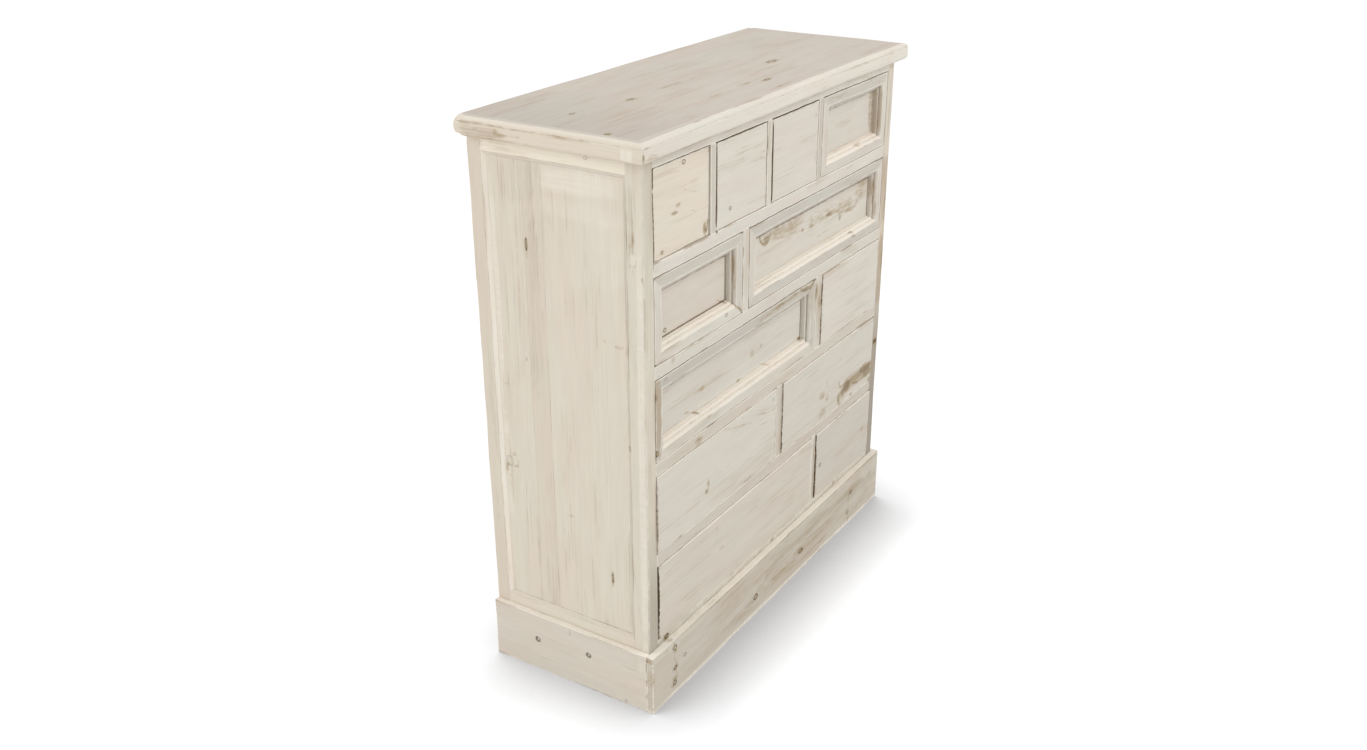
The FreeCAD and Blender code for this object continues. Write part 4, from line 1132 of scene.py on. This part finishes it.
# ---- Front frame ----
def make_front_frame(timber, colours):
    rails = []
    solids = sorted(solid_boxes("front_rails"), key=lambda solid: solid[0][2])
    for place, ((low, high), (wash, shade)) in enumerate(zip(solids, RAIL_WASHES)):
        low[0], high[0] = openings_left, openings_right
        seed = seed_of(timber, "rail", place)
        stick = board(low, high, 0, timber, seed, along=3.0)
        stick["shade"] *= shade
        rails.append(season(stick, timber, getattr(colours, wash), seed, FRONT, FRONT_MARKS,
                            thin=0.54, chance=12))
    limed_piece("front_rails", rails)
    dividers = []
    solids = sorted(solid_boxes("drawer_dividers"), key=lambda solid: (-round(solid[0][2], 3), solid[0][0]))
    for place, ((low, high), (wash, shade)) in enumerate(zip(solids, DIVIDER_WASHES)):
        low[2] += DIVIDER_TENON
        high[2] -= DIVIDER_TENON
        seed = seed_of(timber, "divider", place)
        stick = board(low, high, 2, timber, seed)
        stick["shade"] *= shade
        dividers.append(season(stick, timber, getattr(colours, wash), seed, FRONT, FRONT_MARKS,
                               thin=0.54, chance=10))
    limed_piece("drawer_dividers", dividers)


# ---- Drawers ----
def make_plain_fronts(timber, colours):
    for number in range(1, drawer_count + 1):
        drawer = f"drawer_{number:02d}"
        if f"{drawer}_panel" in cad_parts:
            continue
        low, high = node_box(f"{drawer}_front")
        seed = seed_of(timber, drawer)
        stick = board(low, high, 0, timber, seed, along=1.0)
        points, facing = stick["points"], stick["facing"]
        dirty_left = DIRTY_END if number in DIRTY_LEFT_ENDS else CLEANER_END
        painted_top_shade = DRAWER_TOP_PAINTED_SHADE if number in SHADED_TOP_DRAWERS else 0.0
        # Dirt on what faces left, in patches and from just behind the face; painted shade on what faces up.
        left_end = np.clip(1.7 * -facing[:, 0] - 0.5, 0, 1) * (0.62 + 0.38 * waves(points, 0.018, seed + 2))
        left_end *= smooth_step(0.0004, 0.0018, points[:, 1] - low[1])
        top_edge = np.clip(1.7 * facing[:, 2] - 0.5, 0, 1)
        stick["raw"] = np.maximum(dirty_left * left_end, painted_top_shade * top_edge)
        # The left end is eaten back by a depth that wanders up the end, times e to the power of minus the
        # distances from the end and from the face, so that it dies away from their edge.
        wander = smooth_step(-0.6, 0.9, waves(points * (0.2, 0.2, 1), 0.011, seed))
        eaten = timber.ragged * dirty_left * wander
        near_corner = np.exp(-(points[:, 0] - low[0]) / 0.0014 - (points[:, 1] - low[1]) / 0.006)
        points[:, 0] += eaten * near_corner
        wash, thin, shade = DRAWER_WASHES[number - 1]
        stick["shade"] *= shade
        season(stick, timber, getattr(colours, wash), seed, FRONT, FRONT_MARKS, thin, chance=6)
        stick["marks"][:, 1] *= 1 - smooth_step(DIRT_AND_SHADE_DEPTH, 2.5 * DIRT_AND_SHADE_DEPTH, points[:, 1] - low[1])
        # Faces that look up get a painted highlight in the thick wash's colour.
        if number in PAINTED_HIGHLIGHT_TOPS:
            painted_highlight = smooth_step(0.1, 0.5, facing[:, 2])[:, None]
            stick["tint"] += painted_highlight * (np.array(colours.thick) - stick["tint"])
        limed_piece(f"{drawer}_front", [stick], drawer)


def frame_section(arris, spacing):
    """Section of a framed front's member, (in from the outer edge, back from the face): a flat, an ovolo, a
    step and a second ovolo down to the panel, with the panel's rebate behind."""
    thickness = np.ptp([corner.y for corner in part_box("drawer_05_front")])
    step = FRAME_FLAT + OVOLO + MOULDING_STEP
    bottom = PANEL_RECESS - MOULDING_STEP
    outer = quarter_round((FRAME_FLAT, OVOLO), (OVOLO, OVOLO), 3, (0.8, 0))
    inner = quarter_round((step, OVOLO + MOULDING_STEP + INNER_OVOLO), (INNER_OVOLO, INNER_OVOLO), 3,
                          (-0.7, 0))
    return outline([(0, thickness, 0, 0), (0, 0, arris, 0.7)] + outer
                   + [(FRAME_FLAT + OVOLO, OVOLO + MOULDING_STEP, 0, -0.8)] + inner
                   + [(step + INNER_OVOLO, bottom, 0, -0.7), (FRAME_WIDTH, bottom, 0, 0.4),
                      (FRAME_WIDTH, PANEL_RECESS, 0, 0), (FRAME_WIDTH - PANEL_LAP, PANEL_RECESS, 0, 0),
                      (FRAME_WIDTH - PANEL_LAP, thickness, 0, 0)], spacing)


def round_corners(points, low, high, radius):
    """Rounds the corners of a front seen from in front: a point p goes to q + r (p - q) / |p - q| where it is
    more than r away from q, which is p held r inside the box."""
    flat = points[:, [0, 2]]
    inner = np.clip(flat, low[[0, 2]] + radius, high[[0, 2]] - radius)
    away = flat - inner
    distance = np.maximum(np.linalg.norm(away, axis=1), 1e-9)[:, None]
    points[:, [0, 2]] = inner + away * np.minimum(1, radius / distance)


def make_framed_fronts(timber, colours):
    section = frame_section(timber.arris, 0.5 * timber.shown_spacing)
    inset = section[0][:, 0]
    for number in range(1, drawer_count + 1):
        drawer = f"drawer_{number:02d}"
        if f"{drawer}_panel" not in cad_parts:
            continue
        low, high = node_box(f"{drawer}_front")
        width, height = high[0] - low[0], high[2] - low[2]
        top_corner, right_corner = (low[0], low[1], high[2]), (high[0], low[1], low[2])
        x, y, z = np.eye(3)
        member_lines = ((low, x, z, width), (top_corner, x, -z, width),
                        (low, z, x, height), (right_corner, z, -x, height))
        members = []
        for place, (origin, along, across, length) in enumerate(member_lines):
            seed = seed_of(timber, drawer, "member", place)
            stick = bar(section, (inset, length - inset), origin, along, across, y, timber.shown_spacing)
            grime_and_shade, lime = MEMBER_LOOKS[place]
            stick["grime_and_shade"] *= grime_and_shade
            in_from_edge = (stick["points"] - origin) @ across
            on_moulding = smooth_step(FRAME_FLAT - 0.001, FRAME_FLAT + 0.001, in_from_edge)
            if number in ROUNDED_FRAMES:
                round_corners(stick["points"], low, high, FRAME_CORNER)
            stick["shade"] *= FRAME_SHADES[number][place]
            season(stick, timber, colours.cool, seed, FRONT, FRONT_MARKS, thin=0.52, chance=8)
            # Thick-wash colour on the moulding; on the bottom member it is also a painted highlight.
            stick["tint"] += (lime * on_moulding)[:, None] * (np.array(colours.thick) - stick["tint"])
            members.append(stick)
        limed_piece(f"{drawer}_front", members, drawer)

        panel_low, panel_high = node_box(f"{drawer}_panel")
        seed = seed_of(timber, drawer, "panel")
        beside = PANEL_LAP + np.array(CREVICE_LINES)
        extra = [np.concatenate([panel_low[axis] + beside, panel_high[axis] - beside]) for axis in (0, 2)]
        stick = board(panel_low, panel_high, 0, timber, seed, arris=0.3, extra=(extra[0], (), extra[1]),
                      along=1.0)
        points = stick["points"]
        # Dirt and painted shade along the panel's edges, in the corners under the mouldings.
        to_edges = np.stack([points[:, 2] - panel_low[2], panel_high[2] - points[:, 2],
                             points[:, 0] - panel_low[0], panel_high[0] - points[:, 0]], axis=1)
        crevice_dirt_and_shade = np.clip(2.5 - 2.5 * np.abs(to_edges - PANEL_LAP) / CREVICE_REACH, 0, 1) * CREVICES[number]
        stick["grime_and_shade"] = crevice_dirt_and_shade.max(axis=1)
        wash, thin, shade = DRAWER_WASHES[number - 1]
        stick["shade"] *= shade
        season(stick, timber, getattr(colours, wash), seed, FRONT, FRONT_MARKS, thin, chance=6)
        limed_piece(f"{drawer}_panel", [stick], drawer)


def make_drawer_boxes(timber, colours):
    for number in range(1, drawer_count + 1):
        drawer = f"drawer_{number:02d}"
        low, high = node_box(f"{drawer}_box")
        low[2] += RUNNING_CLEARANCE
        inner_low, inner_high = low + (BOX_WALL, BOX_WALL, 0), high - (BOX_WALL, BOX_WALL, 0)
        walls = (
            (low, (inner_low[0], high[1], high[2]), 1),
            ((inner_high[0], low[1], low[2]), high, 1),
            ((inner_low[0], low[1], low[2]), (inner_high[0], inner_low[1], high[2]), 0),
            ((inner_low[0], inner_high[1], low[2]), (inner_high[0], high[1], high[2]), 0),
        )
        sticks = []
        for place, (lower, upper, grain_axis) in enumerate(walls):
            seed = seed_of(timber, drawer, "wall", place)
            plane = SIDE if grain_axis == 1 else FRONT
            stick = board(lower, upper, grain_axis, timber, seed, shown=False)
            sticks.append(season(stick, timber, colours.bare, seed, plane, chance=10))
        bare_piece(f"{drawer}_box", sticks, drawer)
        low, high = node_box(f"{drawer}_bottom")
        stick = board(low, high, 0, timber, number, shown=False)
        season(stick, timber, colours.veneer, number, TOP)
        timber_piece(f"{drawer}_bottom_veneered", [stick], finish("pine_veneer"), f"{drawer}_bottom", drawer)


# ---- Inside and back of the case ----
def make_runners(timber, colours):
    for node, grain_axis in (("drawer_runners", 1), ("drawer_guides", 1), ("back_rails", 0)):
        sticks = []
        for place, (low, high) in enumerate(solid_boxes(node)):
            seed = seed_of(timber, node, place)
            stick = board(low, high, grain_axis, timber, seed, shown=False)
            plane = SIDE if grain_axis else FRONT
            sticks.append(season(stick, timber, colours.bare, seed, plane, chance=12))
        bare_piece(node, sticks)


def make_back(timber, colours):
    low, high = node_box("back_boards")
    nail_heights = [1000 * np.mean((lower[2], upper[2])) for lower, upper in solid_boxes("back_rails")]
    nail_lines = np.add.outer(np.array(nail_heights) / 1000, NAIL_GRID).ravel()
    width = (high[0] - low[0]) / BACK_BOARD_COUNT
    boards = []
    for place, (lower, upper) in enumerate(split(low, high, 0, [width] * (BACK_BOARD_COUNT - 1))):
        seed = seed_of(timber, "back", place)
        left = 1000 * (lower[0] - case_left)
        nails = [Knot(left + 1000 * width * share, height, NAIL_RADIUS_MM, 1.0, 1.0)
                 for height in nail_heights for share in NAIL_PLACES]
        stick = board(lower, upper, 2, timber, seed, arris=1.3, extra=((), (), nail_lines), along=6.0)
        stick["edge"] *= JOINT_WEAR
        boards.append(season(stick, timber, colours.drab, seed, FRONT, Marks(knots=nails),
                             thin=0.58, chance=14))
    limed_piece("back_boards", boards)


# ---- Plinth ----
def make_plinth(timber, colours):
    # Lime has built up on the plinth's top edge, which is less worn, and its upward faces take the thick
    # wash's pale colour as a painted highlight.
    low, high = node_box("plinth_front")
    seed = seed_of(timber, "plinth front")
    stick = board(low, high, 0, timber, seed)
    on_top = smooth_step(0.3, 0.8, stick["facing"][:, 2])
    stick["wash"] = on_top.copy()
    stick["edge"] *= 1 - 0.8 * on_top
    stick["shade"] *= PLINTH_FRONT_SHADE
    season(stick, timber, colours.drab, seed, FRONT, FRONT_MARKS, thin=0.62, chance=8)
    stick["tint"][stick["facing"][:, 2] > 0.7] = colours.thick
    limed_piece("plinth_front", [stick])
    spread = np.arange(*SCREW_GRID)
    around = tuple(np.concatenate([case_front * (axis == 0) + place[axis] + spread for place in SCREW_PLACES])
                   for axis in (0, 1))
    for side in ("left", "right"):
        low, high = node_box(f"plinth_{side}")
        seed = seed_of(timber, "plinth", side)
        stick = board(low, high, 1, timber, seed, extra=((), *around))
        points = stick["points"]
        outer, inward = (low[0], 1) if side == "left" else (high[0], -1)
        at_face = np.abs(points[:, 0] - outer) < 0.0005
        for place in SCREW_PLACES:
            distance = np.hypot(points[:, 1] - case_front - place[0], points[:, 2] - place[1])
            outside = smooth_step(SCREW_RECESS_RADIUS - SCREW_RECESS_WALL,
                                  SCREW_RECESS_RADIUS + SCREW_RECESS_WALL, distance)
            sunk = at_face * (1 - outside)
            points[:, 0] += inward * SCREW_RECESS_DEPTH * sunk
            # The sunk face round each screw is darkened: dirt and painted shade in the recess.
            stick["raw"] = np.maximum(stick["raw"], 0.9 * sunk)
        marks = SIDE_MARKS if side == "left" else Marks()
        stick["shade"] *= PLINTH_SIDE_SHADE
        # As on the front: more lime, less wear and the thick wash's colour as a painted highlight on upward
        # faces.
        on_top = smooth_step(0.3, 0.8, stick["facing"][:, 2])
        stick["wash"] = 0.8 * on_top
        stick["edge"] *= 1 - 0.6 * on_top
        season(stick, timber, colours.drab, seed, SIDE, marks, thin=0.46, chance=3)
        stick["tint"][stick["facing"][:, 2] > 0.7] = colours.thick
        limed_piece(f"plinth_{side}", [stick])


# ---- Stage ----
def make_stage(stage):
    scene = bpy.context.scene
    scene.view_settings.view_transform = "Standard"
    back = Vector((math.sin(stage.azimuth) * math.cos(stage.elevation),
                   -math.cos(stage.azimuth) * math.cos(stage.elevation), math.sin(stage.elevation)))
    right = (-back).cross(Vector((0, 0, 1))).normalized()
    up = right.cross(-back)
    turned_right = math.cos(stage.roll) * right + math.sin(stage.roll) * up
    turned_up = math.cos(stage.roll) * up - math.sin(stage.roll) * right
    camera = bpy.data.objects.new("camera", bpy.data.cameras.new("camera"))
    scene.collection.objects.link(camera)
    camera.data.lens = stage.lens
    camera.data.sensor_width = 36
    camera.data.clip_end = 100
    camera.matrix_world = (Matrix.Translation(stage.camera_place)
                           @ Matrix((turned_right, turned_up, back)).transposed().to_4x4())
    scene.camera = camera

    world = bpy.data.worlds.new("even_light")
    scene.world = world
    world.use_nodes = True
    tree = world.node_tree
    tree.nodes.clear()
    seen = seen_directly(tree)
    strength = add(tree, "Mix", {0: seen, 2: stage.ambient, 3: 1.0})
    add(tree, "OutputWorld", {0: add(tree, "Background", {0: (1, 1, 1, 1), 1: strength})})

    for name, place, size, power in (("key_lamp", (-2.8, 1.7, 2.3), 2.2, stage.key_power),
                                     ("fill_lamp", (0.5, -2.2, 2.6), 2.4, stage.fill_power)):
        lamp = bpy.data.lights.new(name, "AREA")
        lamp.shape = "DISK"
        lamp.size = size
        lamp.energy = power
        holder = bpy.data.objects.new(name, lamp)
        scene.collection.objects.link(holder)
        aim = Vector((0, 0, 0.45)) - Vector(place)
        holder.matrix_world = Matrix.Translation(place) @ aim.to_track_quat("-Z", "Y").to_matrix().to_4x4()

    angles = np.linspace(0, 2 * np.pi, 64, endpoint=False)
    ring = stage.floor_radius * np.stack([np.cos(angles), np.sin(angles), 0 * angles], axis=1)
    mesh = bpy.data.meshes.new("floor")
    mesh.from_pydata(ring, [], [list(range(len(ring)))])
    mesh.materials.append(studio_floor("studio_floor", stage))
    floor = bpy.data.objects.new("floor", mesh)
    scene.collection.objects.link(floor)


def seen_directly(tree):
    """1 where a ray comes from the camera or by way of glass or a mirror, else 0."""
    path = add(tree, "LightPath").node.outputs
    seen = add(tree, "Math", {0: path["Is Camera Ray"], 1: path["Is Glossy Ray"]}, operation="MAXIMUM")
    return add(tree, "Math", {0: seen, 1: path["Is Transmission Ray"]}, operation="MAXIMUM")


def studio_floor(name, stage):
    """Painted studio floor: matt white, which the camera sees as plain white where nothing stands near and no
    shadow falls. Its faint mottling is 0.3 m across."""
    material, tree = new_finish(name)
    mottle = add(tree, "TexNoise", {"Vector": add(tree, "TexCoord", out=3), "Scale": 3, "Detail": 2})
    roughness = add(tree, "MapRange", {0: mottle, 3: 0.85, 4: 0.95})
    seen = seen_directly(tree)
    paint = add(tree, "Mix", {0: seen, 6: (*stage.floor, 1), 7: (*stage.seen_floor, 1)}, out=2,
                data_type="RGBA")
    matt = add(tree, "BsdfPrincipled", {"Base Color": paint, "Roughness": roughness,
                                        "Specular IOR Level": 0.0})
    # The glow is withheld where the chest is near in the shade_from direction: a painted contact shadow.
    shade_from = add(tree, "CombineXYZ", dict(enumerate(stage.shade_from)))
    open_floor = add(tree, "AmbientOcclusion", {"Distance": stage.contact_reach, "Normal": shade_from}, out=1,
                     samples=16)
    open_floor = add(tree, "MapRange", {0: open_floor, 1: 0.25, 2: 1.0})
    glow = add(tree, "Math", {0: seen, 1: stage.floor_glow}, operation="MULTIPLY")
    glow = add(tree, "Math", {0: glow, 1: open_floor}, operation="MULTIPLY")
    light = add(tree, "Emission", {0: (1, 1, 1, 1), 1: glow})
    add(tree, "OutputMaterial", {0: add(tree, "AddShader", {0: matt, 1: light})})
    return material


# ---- Operators ----
class CHEST_OT_stage(bpy.types.Operator):
    """Camera, even light, two large lamps and a white floor"""
    bl_idname = "chest.stage"
    bl_label = "Stage"

    def execute(self, context):
        make_stage(context.scene.chest_stage)
        return {"FINISHED"}


class CHEST_OT_top(bpy.types.Operator):
    """Boards of the top and the mitred edging round them"""
    bl_idname = "chest.top"
    bl_label = "Top"

    def execute(self, context):
        make_top(context.scene.chest_timber, context.scene.chest_colours)
        return {"FINISHED"}


class CHEST_OT_side_frames(bpy.types.Operator):
    """Posts and side rails with their bevels"""
    bl_idname = "chest.side_frames"
    bl_label = "Side frames"

    def execute(self, context):
        make_side_frames(context.scene.chest_timber, context.scene.chest_colours)
        return {"FINISHED"}


class CHEST_OT_side_panels(bpy.types.Operator):
    """Side panels glued up of staves"""
    bl_idname = "chest.side_panels"
    bl_label = "Side panels"

    def execute(self, context):
        make_side_panels(context.scene.chest_timber, context.scene.chest_colours)
        return {"FINISHED"}


class CHEST_OT_front_frame(bpy.types.Operator):
    """Front rails and the dividers between the drawers"""
    bl_idname = "chest.front_frame"
    bl_label = "Front frame"

    def execute(self, context):
        make_front_frame(context.scene.chest_timber, context.scene.chest_colours)
        return {"FINISHED"}


class CHEST_OT_plain_fronts(bpy.types.Operator):
    """Drawer fronts of one board with rough left edges"""
    bl_idname = "chest.plain_fronts"
    bl_label = "Plain drawer fronts"

    def execute(self, context):
        make_plain_fronts(context.scene.chest_timber, context.scene.chest_colours)
        return {"FINISHED"}


class CHEST_OT_framed_fronts(bpy.types.Operator):
    """Drawer fronts of four moulded members round a panel"""
    bl_idname = "chest.framed_fronts"
    bl_label = "Framed drawer fronts"

    def execute(self, context):
        make_framed_fronts(context.scene.chest_timber, context.scene.chest_colours)
        return {"FINISHED"}


class CHEST_OT_drawer_boxes(bpy.types.Operator):
    """Boxes and bottoms of the drawers"""
    bl_idname = "chest.drawer_boxes"
    bl_label = "Drawer boxes"

    def execute(self, context):
        make_drawer_boxes(context.scene.chest_timber, context.scene.chest_colours)
        return {"FINISHED"}


class CHEST_OT_runners(bpy.types.Operator):
    """Runners, guides and back rails inside the case"""
    bl_idname = "chest.runners"
    bl_label = "Runners and guides"

    def execute(self, context):
        make_runners(context.scene.chest_timber, context.scene.chest_colours)
        return {"FINISHED"}


class CHEST_OT_back(bpy.types.Operator):
    """Nailed back boards"""
    bl_idname = "chest.back"
    bl_label = "Back"

    def execute(self, context):
        make_back(context.scene.chest_timber, context.scene.chest_colours)
        return {"FINISHED"}


class CHEST_OT_plinth(bpy.types.Operator):
    """Plinth boards, with the sinkings for their screws"""
    bl_idname = "chest.plinth"
    bl_label = "Plinth"

    def execute(self, context):
        make_plinth(context.scene.chest_timber, context.scene.chest_colours)
        return {"FINISHED"}


class CHEST_OT_screws(bpy.types.Operator):
    """Dull steel on the plinth's screws"""
    bl_idname = "chest.screws"
    bl_label = "Screws"

    def execute(self, context):
        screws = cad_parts["plinth_screws"]
        screws.data.materials.clear()
        screws.data.materials.append(finish("dull_screw_steel"))
        return {"FINISHED"}


STEPS = (CHEST_OT_stage, CHEST_OT_top, CHEST_OT_side_frames, CHEST_OT_side_panels, CHEST_OT_front_frame,
         CHEST_OT_plain_fronts, CHEST_OT_framed_fronts, CHEST_OT_drawer_boxes, CHEST_OT_runners,
         CHEST_OT_back, CHEST_OT_plinth, CHEST_OT_screws)


class CHEST_PT_panel(bpy.types.Panel):
    """Lists the sizes, the colours and the steps in the 3D view's sidebar"""
    bl_label = "Chest of drawers"
    bl_space_type = "VIEW_3D"
    bl_region_type = "UI"
    bl_category = "Chest"

    def draw(self, context):
        for group in (context.scene.chest_timber, context.scene.chest_colours, context.scene.chest_stage):
            for name in type(group).__annotations__:
                self.layout.prop(group, name)
        for step in STEPS:
            self.layout.operator(step.bl_idname)


CLASSES = (ChestTimber, ChestColours, ChestStage, *STEPS, CHEST_PT_panel)


def register():
    for kind in CLASSES:
        bpy.utils.register_class(kind)
    bpy.types.Scene.chest_timber = PointerProperty(type=ChestTimber)
    bpy.types.Scene.chest_colours = PointerProperty(type=ChestColours)
    bpy.types.Scene.chest_stage = PointerProperty(type=ChestStage)


def unregister():
    del bpy.types.Scene.chest_stage
    del bpy.types.Scene.chest_colours
    del bpy.types.Scene.chest_timber
    for kind in reversed(CLASSES):
        bpy.utils.unregister_class(kind)


def main():
    register()
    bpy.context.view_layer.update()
    for step in STEPS:
        space, name = step.bl_idname.split(".")
        getattr(getattr(bpy.ops, space), name)()


if __name__ == "__main__":
    main()
